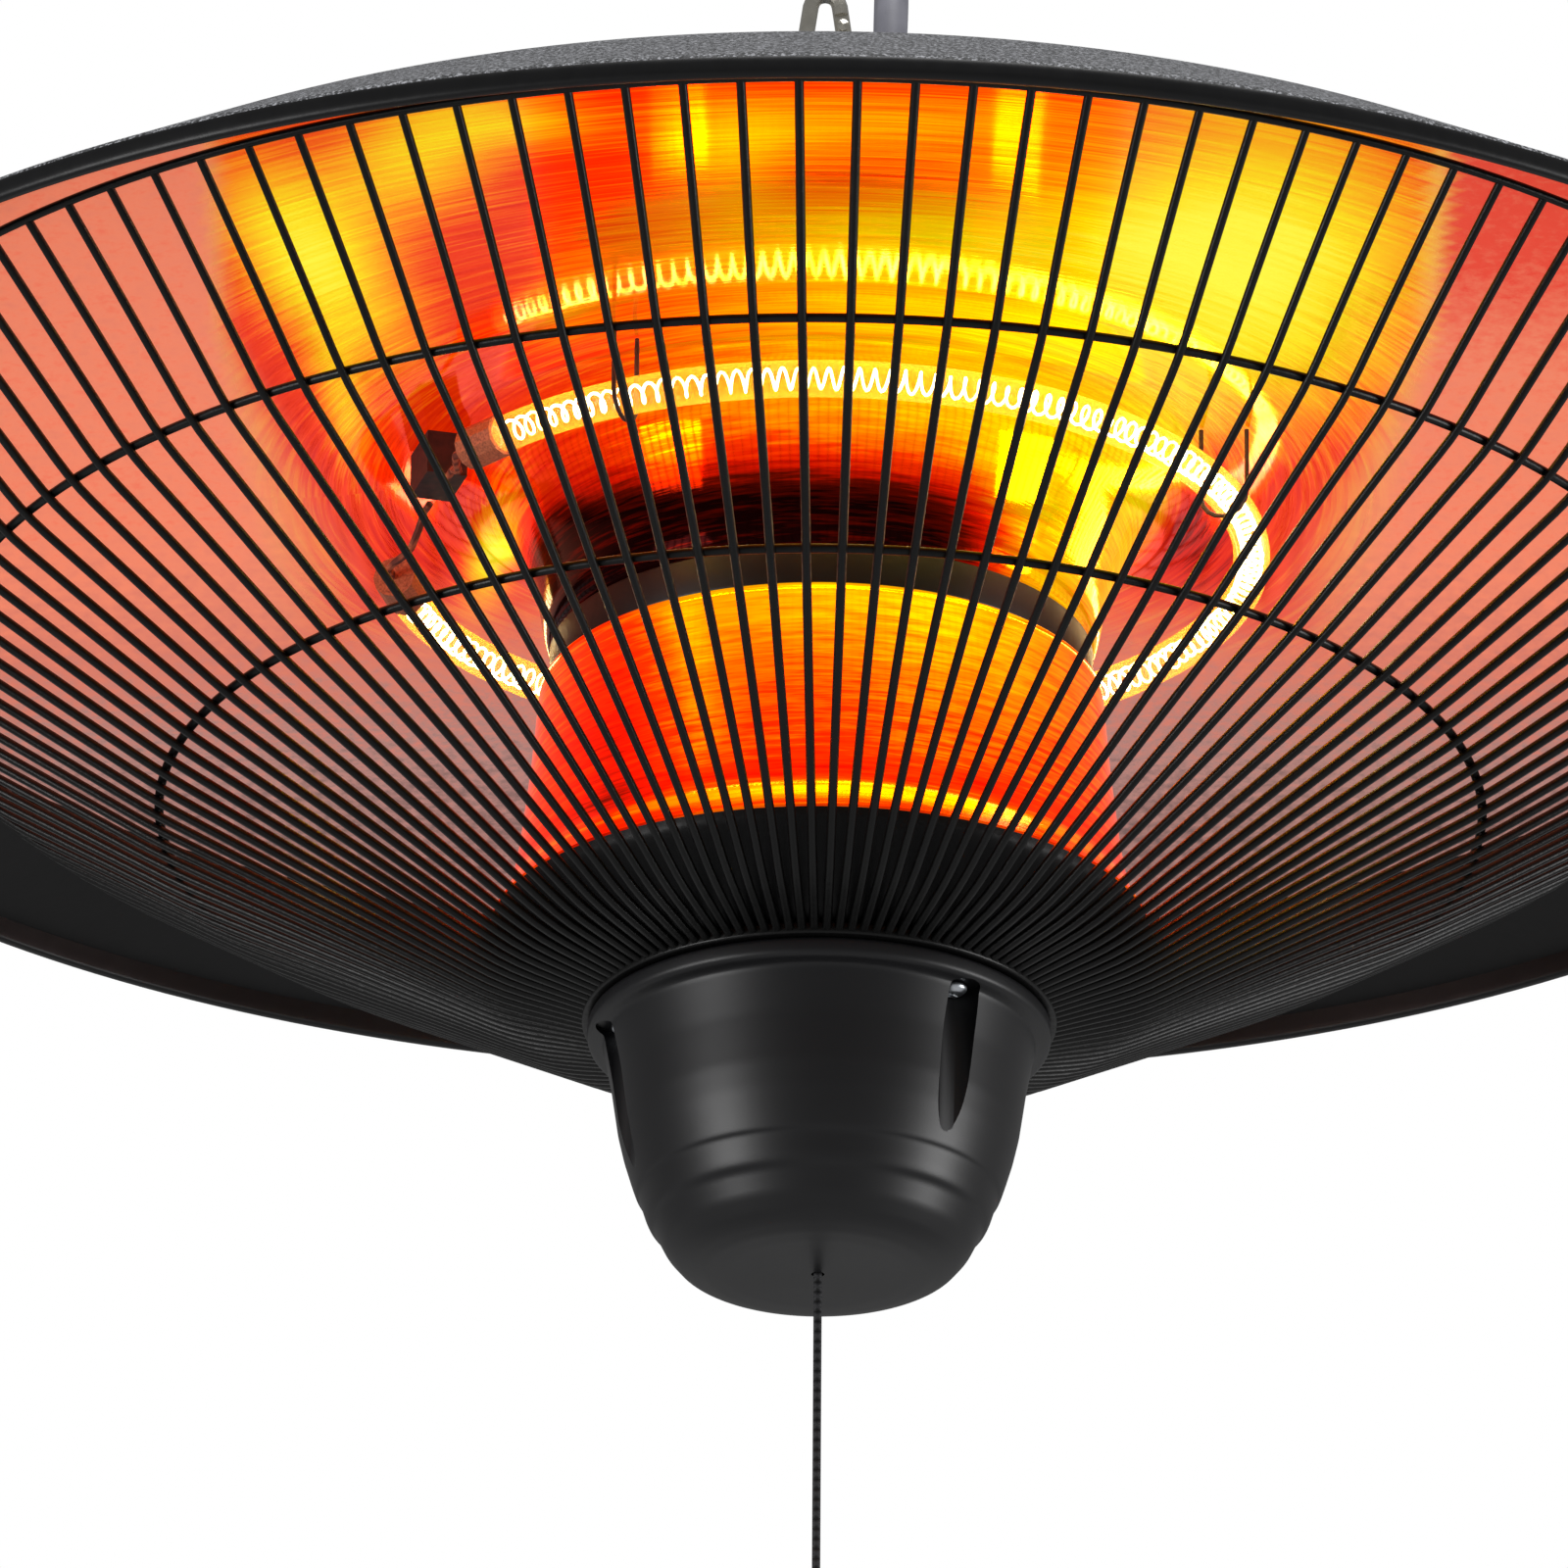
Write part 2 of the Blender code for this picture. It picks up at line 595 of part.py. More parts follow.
def make_coupling(heater):
    """Long nut that joins the eye bolt's thread to the support tube."""
    low = UNDERSIDE_H - GAP - COUPLING_H
    coupling = mesh_object("coupling_nut", nut(COUPLING_AF, COUPLING_H, EYE_SHANK_R + GAP), zinc)
    carry(coupling, heater, (0, 0, DATUM_Z + low))
    bore = cylinder(TUBE_R + GAP, -COUPLING_THREAD_H, COUPLING_H - COUPLING_THREAD_H, 16)
    cut(coupling, carry(mesh_object("coupling_cutter", bore, zinc), heater, (0, 0, DATUM_Z + low)))


def make_canopy(heater):
    centre = EYE_SHANK_R + GAP
    ease_r = CANOPY_R - LIP_EASE
    top = [(centre, CANOPY_H), (PLATEAU_R, CANOPY_H), (CREASE_R, CREASE_H)]
    top.append((ease_r, LIP_TOP_H + LIP_EASE * tan(SKIRT_SLOPE)))
    underside = sheet_profile(top, -CANOPY_T)[len(top):]
    inside_r = CANOPY_R - HEM_T
    lip = [(CANOPY_R, LIP_TOP_H - LIP_EASE / 2), (CANOPY_R, LIP_LOW_H + HEM_EDGE)]
    lip += [(CANOPY_R - HEM_EDGE, LIP_LOW_H), (inside_r, LIP_LOW_H), (inside_r, canopy_underside(inside_r))]
    profile = top + lip + underside[1:]
    canopy = carry(mesh_object("canopy", lathe(profile, CANOPY_STEPS), canopy_paint, 50), heater)
    hole = cylinder(GLAND_THREAD_R + GAP, -3 * CANOPY_T, 2 * CANOPY_T)
    cut(canopy, carry(mesh_object("canopy_gland_cutter", hole, zinc), heater, (GLAND_X, GLAND_Y, CROWN_Z)))


def make_reflector(heater):
    flange_h = NECK_TOP_H + GAP
    face = [(NECK_BORE_R + REFLECTOR_SEAT, flange_h), (NECK_R + REFLECTOR_BEND, flange_h)]
    face += [*REFLECTOR_WALL, REFLECTOR_CREST, *REFLECTOR_FLAT, (REFLECTOR_EDGE_R, REFLECTOR_EDGE_H)]
    profile = sheet_profile(face, REFLECTOR_T)
    reflector = carry(mesh_object("reflector", lathe(profile, REFLECTOR_STEPS), polished, 50), heater)
    hole = cylinder(FEED_HOLE_R, REFLECTOR_CREST[1] - FEED_HOLE_DEPTH, REFLECTOR_CREST[1] + FEED_HOLE_DEPTH)
    place = polar(HOLDER_R, HOLDER_AZIMUTH, DATUM_Z)
    cut(reflector, carry(mesh_object("feed_hole_cutter", hole, polished), heater, place))


def make_hub(heater):
    neck_low = NECK_TOP_H - NECK_HEIGHT
    ring = [(NECK_BORE_R, NECK_TOP_H), (NECK_R, NECK_TOP_H), (NECK_R - NECK_TAPER, neck_low)]
    ring.append((NECK_BORE_R, neck_low))
    carry(mesh_object("neck_ring", lathe(ring, HUB_STEPS), black_paint), heater)

    skirt_top = neck_low - GAP
    skirt_low = BASE_RIM_H + GAP + SKIRT_T / 2
    outside = [(SKIRT_SEAT_R, skirt_top), (SKIRT_LINE[0][0], skirt_top), *SKIRT_LINE[1:], (BASE_R, skirt_low)]
    carry(mesh_object("hub_skirt", lathe(sheet_profile(outside, -SKIRT_T), HUB_STEPS), polished, 50), heater)

    base = [(TUBE_R + GAP, BASE_UNDER_H), (BASE_SEAT_R, BASE_UNDER_H), *BASE_LINE, (BASE_R, BASE_RIM_H)]
    plate = carry(mesh_object("hub_base", lathe(sheet_profile(base, BASE_T), HUB_STEPS), black_paint, 50), heater)
    for i, azimuth in enumerate(CUP_SCREW_AZIMUTHS):
        hole = cylinder(SCREW_R + GAP, BASE_UNDER_H - BASE_T, BASE_UNDER_H + 3 * BASE_T)
        place = polar(CUP_SCREW_R, azimuth, DATUM_Z)
        cut(plate, carry(mesh_object("base_hole_cutter_%d" % i, hole, zinc), heater, place))

    bore = TUBE_R + GAP
    disc = [(bore, CLAMP_PLATE_T), (CLAMP_PLATE_R, CLAMP_PLATE_T), (CLAMP_PLATE_R, 0), (bore, 0)]
    carry(mesh_object("clamp_plate", lathe(disc, DISC_STEPS), zinc), heater, (0, 0, DATUM_Z + CLAMP_PLATE_H))
    upper = DATUM_Z + CLAMP_PLATE_H + CLAMP_PLATE_T + GAP
    carry(mesh_object("upper_tube_nut", nut(TUBE_NUT_AF, TUBE_NUT_H, bore), zinc), heater, (0, 0, upper))
    lower = DATUM_Z + BASE_UNDER_H - GAP - TUBE_NUT_H
    carry(mesh_object("lower_tube_nut", nut(TUBE_NUT_AF, TUBE_NUT_H, bore), zinc), heater, (0, 0, lower))


def tube_low_height():
    return BASE_UNDER_H - GAP - TUBE_NUT_H - TUBE_BELOW_NUT


def window_low_height():
    return CLAMP_PLATE_H + CLAMP_PLATE_T + GAP + TUBE_NUT_H + WINDOW_ABOVE_NUT


def make_support_tube(heater):
    top = UNDERSIDE_H - GAP - COUPLING_H + TUBE_ENTRY
    bore = TUBE_R - TUBE_WALL
    wall = [(bore, top), (TUBE_R, top), (TUBE_R, tube_low_height()), (bore, tube_low_height())]
    pipe = carry(mesh_object("support_tube", lathe(wall, 16), zinc), heater)
    low = (0, -WINDOW_W / 2, window_low_height())
    high = (2 * TUBE_R, WINDOW_W / 2, window_low_height() + WINDOW_H)
    cut(pipe, carry(mesh_object("window_cutter", box(low, high), zinc), heater))


def guard_path():
    """Wire centre line from the outer ring to the collar, with the side's half height at each point."""
    outer = Vector((OUTER_RING_R, OUTER_RING_H))
    knee = Vector((KNEE_R, KNEE_H))
    collar = Vector((COLLAR_R, COLLAR_TOP_H - COLLAR_T / 2))
    below = WIRE_SIDE / 2 + RING_WIRE_R + GAP
    path = [outer]
    rings = [outer, Vector((MIDDLE_RING_R, MIDDLE_RING_H)), Vector((INNER_RING_R, 0)), knee]
    for before, ring, after in zip(rings, rings[1:], rings[2:]):
        along = ((ring - before).normalized() + (after - ring).normalized()).normalized()
        path.append(ring + below * Vector((-along.y, along.x)))
    return path + [knee, collar]


def wire_section(path, index):
    """Lower and upper side of the wire at one point of its path, as (radius, height)."""
    here = path[index]
    before = path[max(index - 1, 0)]
    after = path[min(index + 1, len(path) - 1)]
    along = (after - before).normalized()
    side = Vector((-along.y, along.x)) * WIRE_SIDE / 2
    if index == len(path) - 1:
        side = Vector((0, -COLLAR_T / 2))
    return here + side, here - side


def ring_faces(bm, lefts, rights, tops, lows, highs):
    """Close a ring round the wires' ends: lows and highs are its corners away from the wires."""
    for k in range(WIRE_COUNT):
        n = (k + 1) % WIRE_COUNT
        bm.faces.new((lefts[k], rights[k], lows[k]))
        bm.faces.new((rights[k], lefts[n], lows[n], lows[k]))
        bm.faces.new((rights[k], tops[k], tops[n], lefts[n]))
        bm.faces.new((tops[k], highs[k], highs[n], tops[n]))
        if lows[k] is not highs[k]:
            bm.faces.new((lows[k], lows[n], highs[n], highs[k]))


def make_guard(heater):
    """Wires, outer ring and collar as one welded piece: each wire grows out of a face of both rings."""
    bm = bmesh.new()
    path = guard_path()
    sections = [wire_section(path, i) for i in range(len(path))]
    outward = (path[0] - path[1]).normalized() * WIRE_SIDE + path[0]
    wires = []
    backs = []
    bore_lows = []
    bore_highs = []
    for k in range(WIRE_COUNT):
        azimuth = WIRE_PHASE + tau * k / WIRE_COUNT
        across = Vector((-sin(azimuth), cos(azimuth), 0)) * WIRE_SIDE / 2
        loops = []
        for low, high in sections:
            lower = polar(low.x, azimuth, low.y)
            upper = polar(high.x, azimuth, high.y)
            loops.append([bm.verts.new(corner) for corner in (lower - across, lower + across, upper)])
        wires.append(loops)
        backs.append(bm.verts.new(polar(outward.x, azimuth, outward.y)))
        bore_lows.append(bm.verts.new(polar(COLLAR_BORE_R, azimuth, COLLAR_TOP_H - COLLAR_T)))
        bore_highs.append(bm.verts.new(polar(COLLAR_BORE_R, azimuth, COLLAR_TOP_H)))
    for loops in wires:
        for one, two in zip(loops, loops[1:]):
            for i in range(3):
                j = (i + 1) % 3
                bm.faces.new((one[i], one[j], two[j], two[i]))
    for end, lows, highs in ((0, backs, backs), (-1, bore_lows, bore_highs)):
        corners = [[loops[end][i] for loops in wires] for i in range(3)]
        ring_faces(bm, *corners, lows, highs)
    carry(mesh_object("guard_wires", bm, guard_paint, 60), heater)
    for name, radius, height in (("guard_ring_middle", MIDDLE_RING_R, MIDDLE_RING_H),
                                 ("guard_ring_inner", INNER_RING_R, 0.0)):
        ring = [(radius - RING_WIRE_R, height), (radius, height + RING_WIRE_R)]
        ring += [(radius + RING_WIRE_R, height), (radius, height - RING_WIRE_R)]
        carry(mesh_object(name, lathe(ring, CANOPY_STEPS), guard_paint, 100), heater)


def make_guard_clips(heater):
    """Four bent strips under the skirt, each holding the outer ring from below between two wires."""
    low_corner = wire_section(guard_path(), 0)[0]
    seat = low_corner.y - GAP
    under = GAP / cos(SKIRT_SLOPE)
    seat_out = OUTER_RING_R + CLIP_SEAT_OUT
    seat_in = OUTER_RING_R - CLIP_SEAT_IN
    bend = seat_out + CLIP_LEG_RUN
    outline = [(r, canopy_underside(r) - under) for r in (bend + CLIP_WELD_L, bend)]
    outline += [(seat_out, seat), (seat_in, seat), (seat_in - CLIP_TIP_L, seat + CLIP_TIP_RISE)]
    profile = sheet_profile(outline, CLIP_T)
    step = tau / WIRE_COUNT
    for i, wanted in enumerate(CLIP_AZIMUTHS):
        azimuth = round(wanted / step) * step + WIRE_PHASE - step / 2
        clip = carry(mesh_object("guard_clip_%d" % (i + 1), strip(profile, CLIP_WIDTH), black_paint), heater)
        clip.rotation_euler.z = azimuth


def arc_frame(azimuth):
    """Outward and forward directions of the lamp's ring at an azimuth."""
    return Vector((cos(azimuth), sin(azimuth), 0)), Vector((-sin(azimuth), cos(azimuth), 0))


def make_lamp(heater):
    bore = QUARTZ_R - QUARTZ_WALL
    outer = []
    inner = []
    for i in range(LAMP_STEPS + 1):
        out = arc_frame(LAMP_START + LAMP_SWEEP * i / LAMP_STEPS)[0]
        rim = [out * cos(tau * s / 8) + Vector((0, 0, sin(tau * s / 8))) for s in range(8)]
        outer.append([out * LAMP_R + spoke * QUARTZ_R for spoke in rim])
        inner.append([out * LAMP_R + spoke * bore for spoke in rim])
    quartz_tube = mesh_object("quartz_tube", loft(outer + inner[::-1], closed=True), quartz)
    carry(quartz_tube, heater, (0, 0, DATUM_Z + LAMP_H))

    points = []
    lead_in = 2 * FILAMENT_WIRE_R / LAMP_R
    for i in range(FILAMENT_CURLS * CURL_POINTS + 1):
        share = i / (FILAMENT_CURLS * CURL_POINTS)
        out = arc_frame(LAMP_START + lead_in + (LAMP_SWEEP - 2 * lead_in) * share)[0]
        turn = tau * i / CURL_POINTS
        points.append(out * (LAMP_R + FILAMENT_R * cos(turn)) + Vector((0, 0, FILAMENT_R * sin(turn))))
    first = arc_frame(LAMP_START + lead_in)[1] * 2 * FILAMENT_WIRE_R
    last = arc_frame(LAMP_START + LAMP_SWEEP - lead_in)[1] * 2 * FILAMENT_WIRE_R
    points = [points[0] - first] + points + [points[-1] + last]
    print("filament gap mm", round(1000 * self_gap(points, FILAMENT_WIRE_R, 3 * FILAMENT_R), 2))
    filament = tube("filament", points, FILAMENT_WIRE_R, tungsten, resolution=1)
    carry(filament, heater, (0, 0, DATUM_Z + LAMP_H))

    holder_place = polar(HOLDER_R, HOLDER_AZIMUTH, LAMP_H)
    for i, (azimuth, sense) in enumerate(((LAMP_START, -1), (LAMP_START + LAMP_SWEEP, 1))):
        out, along = arc_frame(azimuth)
        away = along * sense
        cap = mesh_object("lamp_cap_%d" % (i + 1), cylinder(LAMP_CAP_R, GAP, GAP + LAMP_CAP_L), ceramic)
        carry(cap, heater, Vector((0, 0, DATUM_Z + LAMP_H)) + out * LAMP_R)
        cap.rotation_euler = away.to_track_quat("Z", "Y").to_euler()
        start = out * LAMP_R + away * (LAMP_CAP_L + 2 * GAP) + Vector((0, 0, LAMP_H))
        side = arc_frame(HOLDER_AZIMUTH)[1] * -sense
        end = holder_place + side * (HOLDER_SIZE[1] / 2 + GAP) + Vector((0, 0, LEAD_BEND))
        route = [start, start + away * LEAD_BEND, (start + end) / 2 - Vector((0, 0, LEAD_SAG))]
        route += [end + side * LEAD_BEND, end]
        points = smooth_route(route, LEAD_BEND)
        lead = tube("lamp_lead_%d" % (i + 1), points, LAMP_LEAD_R, wire_sleeve, resolution=1)
        carry(lead, heater)
    make_lamp_clips(heater)


def reflector_face(radius):
    """Height of the reflector's lower face over the lamp, between its crest and its flat."""
    share = (radius - REFLECTOR_CREST[0]) / (REFLECTOR_FLAT[0][0] - REFLECTOR_CREST[0])
    return REFLECTOR_CREST[1] + (REFLECTOR_FLAT[0][1] - REFLECTOR_CREST[1]) * share


def make_lamp_clips(heater):
    """Wire loops that hang the quartz tube from the reflector."""
    reach = QUARTZ_R + LAMP_CLIP_CLEARANCE + LAMP_CLIP_WIRE_R
    for i, azimuth in enumerate(LAMP_CLIP_AZIMUTHS):
        legs = []
        for side in (-1, 1):
            radius = LAMP_R + side * reach
            top = reflector_face(radius) - GAP - LAMP_CLIP_WIRE_R / 4
            legs.append([Vector((radius, 0, top)), Vector((radius, 0, LAMP_H))])
        bend = [Vector((LAMP_R - reach * cos(pi * s / 8), 0, LAMP_H - reach * sin(pi * s / 8))) for s in range(1, 8)]
        wire = legs[0] + bend + legs[1][::-1]
        clip = carry(tube("lamp_clip_%d" % (i + 1), wire, LAMP_CLIP_WIRE_R, zinc, resolution=1), heater)
        clip.rotation_euler.z = azimuth


def make_wiring(heater):
    """Terminal block on the clamp plate, and the sleeved leads between gland, block, lamp and switch."""
    holder_top = reflector_face(HOLDER_R) - GAP
    low = (-HOLDER_SIZE[0] / 2, -HOLDER_SIZE[1] / 2, holder_top - HOLDER_SIZE[2])
    high = (HOLDER_SIZE[0] / 2, HOLDER_SIZE[1] / 2, holder_top - HOLDER_CLEARANCE)
    holder = mesh_object("lamp_holder", box(low, high), dark_ceramic)
    carry(holder, heater, polar(HOLDER_R, HOLDER_AZIMUTH, DATUM_Z)).rotation_euler.z = HOLDER_AZIMUTH

    block_low = CLAMP_PLATE_H + CLAMP_PLATE_T + GAP
    block_top = block_low + BLOCK_H
    block = box((*BLOCK_LOW, block_low), (*BLOCK_HIGH, block_top))
    carry(mesh_object("terminal_block", block, ceramic), heater)

    gland_low = CANOPY_H + GAP + TOP_PLATE_T + GAP - GLAND_THREAD_L
    top = gland_low - GAP
    supply_end = Vector((BLOCK_ENTRY_X, BLOCK_ENTRY_Y, block_top + GAP))
    route = [(GLAND_X, GLAND_Y, top), (GLAND_X, GLAND_Y, top - 2 * LEAD_BEND), SUPPLY_BEND]
    route += [supply_end + Vector((0, 0, 2 * LEAD_BEND)), supply_end]
    supply = smooth_route(route, 2 * LEAD_BEND)
    carry(tube("supply_lead", supply, SUPPLY_LEAD_R, wire_sleeve, resolution=1), heater)

    feed_start = Vector((BLOCK_ENTRY_X, -BLOCK_ENTRY_Y, block_top + GAP))
    feed_end = polar(HOLDER_R, HOLDER_AZIMUTH, holder_top - HOLDER_CLEARANCE + GAP)
    route = [feed_start, feed_start + Vector((0, 0, 3 * LEAD_BEND)), FEED_BEND]
    route += [polar(*place) for place in FEED_OVER] + [feed_end + Vector((0, 0, LEAD_BEND)), feed_end]
    carry(tube("lamp_feed", smooth_route(route, 2 * LEAD_BEND), FEED_LEAD_R, wire_sleeve, resolution=1), heater)

    window = window_low_height() + WINDOW_H / 2
    start = Vector((BLOCK_LOW[0] - GAP, 0, block_top - LEAD_BEND))
    cover_top = SWITCH_TOP_H + GAP + SWITCH_COVER_T + GAP
    route = [start, start - Vector((LEAD_BEND, 0, 0)), (2 * LEAD_BEND, 0, window + LEAD_SAG)]
    route += [(LEAD_SAG, 0, window - LEAD_SAG), (0, 0, window - 2 * LEAD_BEND), (0, 0, window - 6 * LEAD_BEND)]
    route += [(0, 0, (window + cover_top) / 2), (0, 0, cover_top)]
    carry(tube("switch_lead", smooth_route(route, 2 * LEAD_BEND), SWITCH_LEAD_R, wire_sleeve, resolution=1), heater)


def cup_outline():
    """Outside of the cup as (radius, height), from the flange's top edge down to the bottom."""
    low = CUP_TOP_H - CUP_FLANGE_T
    outline = [(CUP_FLANGE_R, CUP_TOP_H), (CUP_FLANGE_R, low)] + [(r, low - drop) for r, drop in CUP_WALL_LINE]
    outline.append((CUP_BOTTOM_R, CUP_BOTTOM_H))
    return outline


def make_cup(heater):
    outline = cup_outline()
    solid = [(0, CUP_TOP_H)] + outline + [(0, CUP_BOTTOM_H)]
    cup = carry(mesh_object("switch_cup", lathe(solid, HUB_STEPS, closed=False), cup_plastic, 30), heater)
    inside = [(r - CUP_WALL, h) for r, h in outline[2:-1]]
    inside = [(inside[0][0], CUP_TOP_H + CUP_WALL)] + inside + [(CUP_BOTTOM_R - CUP_WALL, CUP_FLOOR_H)]
    inside = [(0, CUP_TOP_H + CUP_WALL)] + inside + [(0, CUP_FLOOR_H)]
    hollow = carry(mesh_object("cup_hollow_cutter", lathe(inside, HUB_STEPS, closed=False), cup_plastic), heater)
    roof = CUP_TOP_H - POCKET_ROOF
    for i, azimuth in enumerate(CUP_SCREW_AZIMUTHS):
        place = polar(CUP_SCREW_R, azimuth, DATUM_Z)
        lug = cylinder(LUG_R, CUP_BOTTOM_H - CUP_WALL, CUP_TOP_H, 16)
        cut(hollow, carry(mesh_object("cup_lug_guide_%d" % i, lug, cup_plastic), heater, place))
    cut(cup, hollow)
    for i, azimuth in enumerate(CUP_SCREW_AZIMUTHS):
        place = polar(CUP_SCREW_R, azimuth, DATUM_Z)
        pocket = cylinder(POCKET_R, CUP_BOTTOM_H - CUP_WALL, roof, 16)
        cut(cup, carry(mesh_object("cup_pocket_cutter_%d" % i, pocket, cup_plastic), heater, place))
        hole = cylinder(SCREW_R + GAP, roof - CUP_WALL, CUP_TOP_H + CUP_WALL)
        cut(cup, carry(mesh_object("cup_screw_cutter_%d" % i, hole, cup_plastic), heater, place))
        under = roof - GAP
        top = BASE_UNDER_H + BASE_T + SCREW_END
        profile = [(0, top), (SCREW_R, top), (SCREW_R, under), (SCREW_HEAD_R, under)]
        profile += [(SCREW_HEAD_R, under - SCREW_HEAD_H / 2), (0.6 * SCREW_HEAD_R, under - SCREW_HEAD_H)]
        profile.append((0, under - SCREW_HEAD_H))
        screw = mesh_object("cup_screw_%d" % (i + 1), lathe(profile, 12, closed=False), zinc)
        carry(screw, heater, place)
    hole = cylinder(CORD_HOLE_R, CUP_BOTTOM_H - CUP_WALL, CUP_FLOOR_H + CUP_WALL)
    cut(cup, carry(mesh_object("cord_hole_cutter", hole, cup_plastic), heater))


def make_switch(heater, pull, rotor_body):
    half = SWITCH_DEPTH / 2
    low = (SWITCH_X[0], -half, SWITCH_FLOOR_H)
    high = (SWITCH_X[1], half, SWITCH_TOP_H)
    housing = carry(mesh_object("switch_housing", box(low, high), switch_plastic), heater)
    wall = SWITCH_WALL
    low = (SWITCH_X[0] + wall, wall - half, SWITCH_FLOOR_H + wall)
    high = (SWITCH_X[1] - wall, half - wall, SWITCH_TOP_H + wall)
    cut(housing, carry(mesh_object("switch_hollow_cutter", box(low, high), switch_plastic), heater))
    hole = cylinder(CORD_HOLE_R + GAP, SWITCH_FLOOR_H - wall, SWITCH_FLOOR_H + 2 * wall)
    cut(housing, carry(mesh_object("switch_cord_cutter", hole, switch_plastic), heater))
    rotor_h = SWITCH_TOP_H - ROTOR_DROP
    axle_place = (ROTOR_X, 0, DATUM_Z + rotor_h)
    hole = mesh_object("axle_hole_cutter", cylinder(AXLE_R + GAP, -SWITCH_DEPTH, SWITCH_DEPTH), zinc)
    carry(hole, heater, axle_place).rotation_euler.x = pi / 2
    cut(housing, hole)
    low = (SWITCH_X[0], -half, SWITCH_TOP_H + GAP)
    high = (SWITCH_X[1], half, SWITCH_TOP_H + GAP + SWITCH_COVER_T)
    carry(mesh_object("switch_cover", box(low, high), switch_plastic), heater)

    outline = []
    for i in range(ROTOR_TEETH):
        angle = tau * i / ROTOR_TEETH
        outline.append((ROTOR_R * cos(angle), ROTOR_R * sin(angle)))
        root = angle + ROTOR_TOOTH_LEAN
        outline.append((ROTOR_ROOT_R * cos(root), ROTOR_ROOT_R * sin(root)))
    rotor = carry(mesh_object("ratchet_wheel", strip(outline, ROTOR_T), switch_plastic), rotor_body, axle_place)
    axle = mesh_object("axle_guide", cylinder(AXLE_R, -half, half), switch_plastic)
    carry(axle, rotor_body, axle_place).rotation_euler.x = pi / 2
    join(rotor, axle)

    disc_top = SWITCH_TOP_H - ACTUATOR_TOP_DROP
    disc_low = disc_top - ACTUATOR_DISC_T
    stem_low = disc_top - ACTUATOR_L
    profile = [(0, disc_top), (ACTUATOR_R, disc_top), (ACTUATOR_R, disc_low), (ACTUATOR_STEM_R, disc_low)]
    profile += [(ACTUATOR_STEM_R, stem_low), (0, stem_low)]
    carry(mesh_object("actuator", lathe(profile, 12, closed=False), switch_plastic), pull)

    spring_low = SWITCH_FLOOR_H + wall + GAP + SPRING_WIRE_R
    spring_high = disc_low - GAP - SPRING_WIRE_R
    points = []
    for i in range(SPRING_CURLS * 8 + 1):
        angle = tau * i / 8
        rise = spring_low + (spring_high - spring_low) * i / (SPRING_CURLS * 8)
        points.append(polar(SPRING_R, angle, rise))
    print("spring gap mm", round(1000 * self_gap(points, SPRING_WIRE_R, 3 * SPRING_R), 2))
    carry(tube("return_spring", points, SPRING_WIRE_R, steel, resolution=1), heater)

    cord_top = stem_low - GAP
    cord_low = CUP_BOTTOM_H - PULL_CORD_L
    count = round((cord_top - cord_low) / (20 * MM))
    points = [(0, 0, cord_top + (cord_low - cord_top) * i / count) for i in range(count + 1)]
    carry(tube("pull_cord", points, CORD_R, cord_black), pull)
    top = cord_low - GAP
    profile = [(0, top), (0.35 * KNOB_R, top), (0.62 * KNOB_R, top - 0.22 * KNOB_L)]
    profile += [(KNOB_R, top - 0.68 * KNOB_L), (0.93 * KNOB_R, top - 0.86 * KNOB_L)]
    profile += [(0.6 * KNOB_R, top - KNOB_L), (0, top - KNOB_L)]
    carry(mesh_object("pull_knob", lathe(profile, 16, closed=False), cup_plastic, 50), pull)


def make_gland(heater):
    thread_low = -GLAND_THREAD_L
    profile = [(0, GLAND_H), (0.75 * GLAND_R, GLAND_H), (0.95 * GLAND_R, 0.75 * GLAND_H)]
    profile += [(0.95 * GLAND_R, 0.45 * GLAND_H), (GLAND_R, 0.4 * GLAND_H), (GLAND_R, 0)]
    profile += [(GLAND_THREAD_R, 0), (GLAND_THREAD_R, thread_low), (0, thread_low)]
    gland = mesh_object("cable_gland", lathe(profile, 16, closed=False), cup_plastic, 30)
    carry(gland, heater, (GLAND_X, GLAND_Y, DATUM_Z + PLATE_TOP_H + GAP))
    lock = mesh_object("gland_nut", nut(1.8 * GLAND_R, GLAND_NUT_H, GLAND_THREAD_R + GAP), cup_plastic)
    carry(lock, heater, (GLAND_X, GLAND_Y, DATUM_Z + UNDERSIDE_H - GAP - GLAND_NUT_H))
    profile = [(0, RELIEF_L), (RELIEF_TIP_R, RELIEF_L), (RELIEF_ROOT_R, 0), (0, 0)]
    relief = mesh_object("strain_relief", lathe(profile, 16, closed=False), cup_plastic)
    carry(relief, heater, (GLAND_X, GLAND_Y, DATUM_Z + GLAND_TOP_H + GAP))


def coil_points():
    """Spiral in on the upper layer, step down where the spiral reverses, spiral out on the lower one."""
    turns = 2 * COIL_HALF_TURNS
    middle = tau * COIL_HALF_TURNS
    count = round(COIL_TURN_POINTS * turns)
    points = []
    for i in range(count + 1):
        angle = tau * turns * i / count
        radius = COIL_INNER_R + COIL_PITCH * abs(angle - middle) / tau
        share = min(max((angle - middle + pi / 2) / pi, 0), 1)
        height = COIL_HIGH_H + (COIL_LOW_H - COIL_HIGH_H) * (1 - cos(pi * share)) / 2
        points.append(polar(radius, COIL_AZIMUTH + angle, height))
    return points


def coil_ends():
    """Flat end faces of the coil: one diameter of straight cable before and after the turns."""
    heading = Vector((-sin(COIL_AZIMUTH), cos(COIL_AZIMUTH), 0))
    straight = heading * 2 * CABLE_R
    start = polar(COIL_OUTER_R, COIL_AZIMUTH, COIL_HIGH_H) - straight
    end = polar(COIL_OUTER_R, COIL_AZIMUTH, COIL_LOW_H) + straight
    return start, end, heading


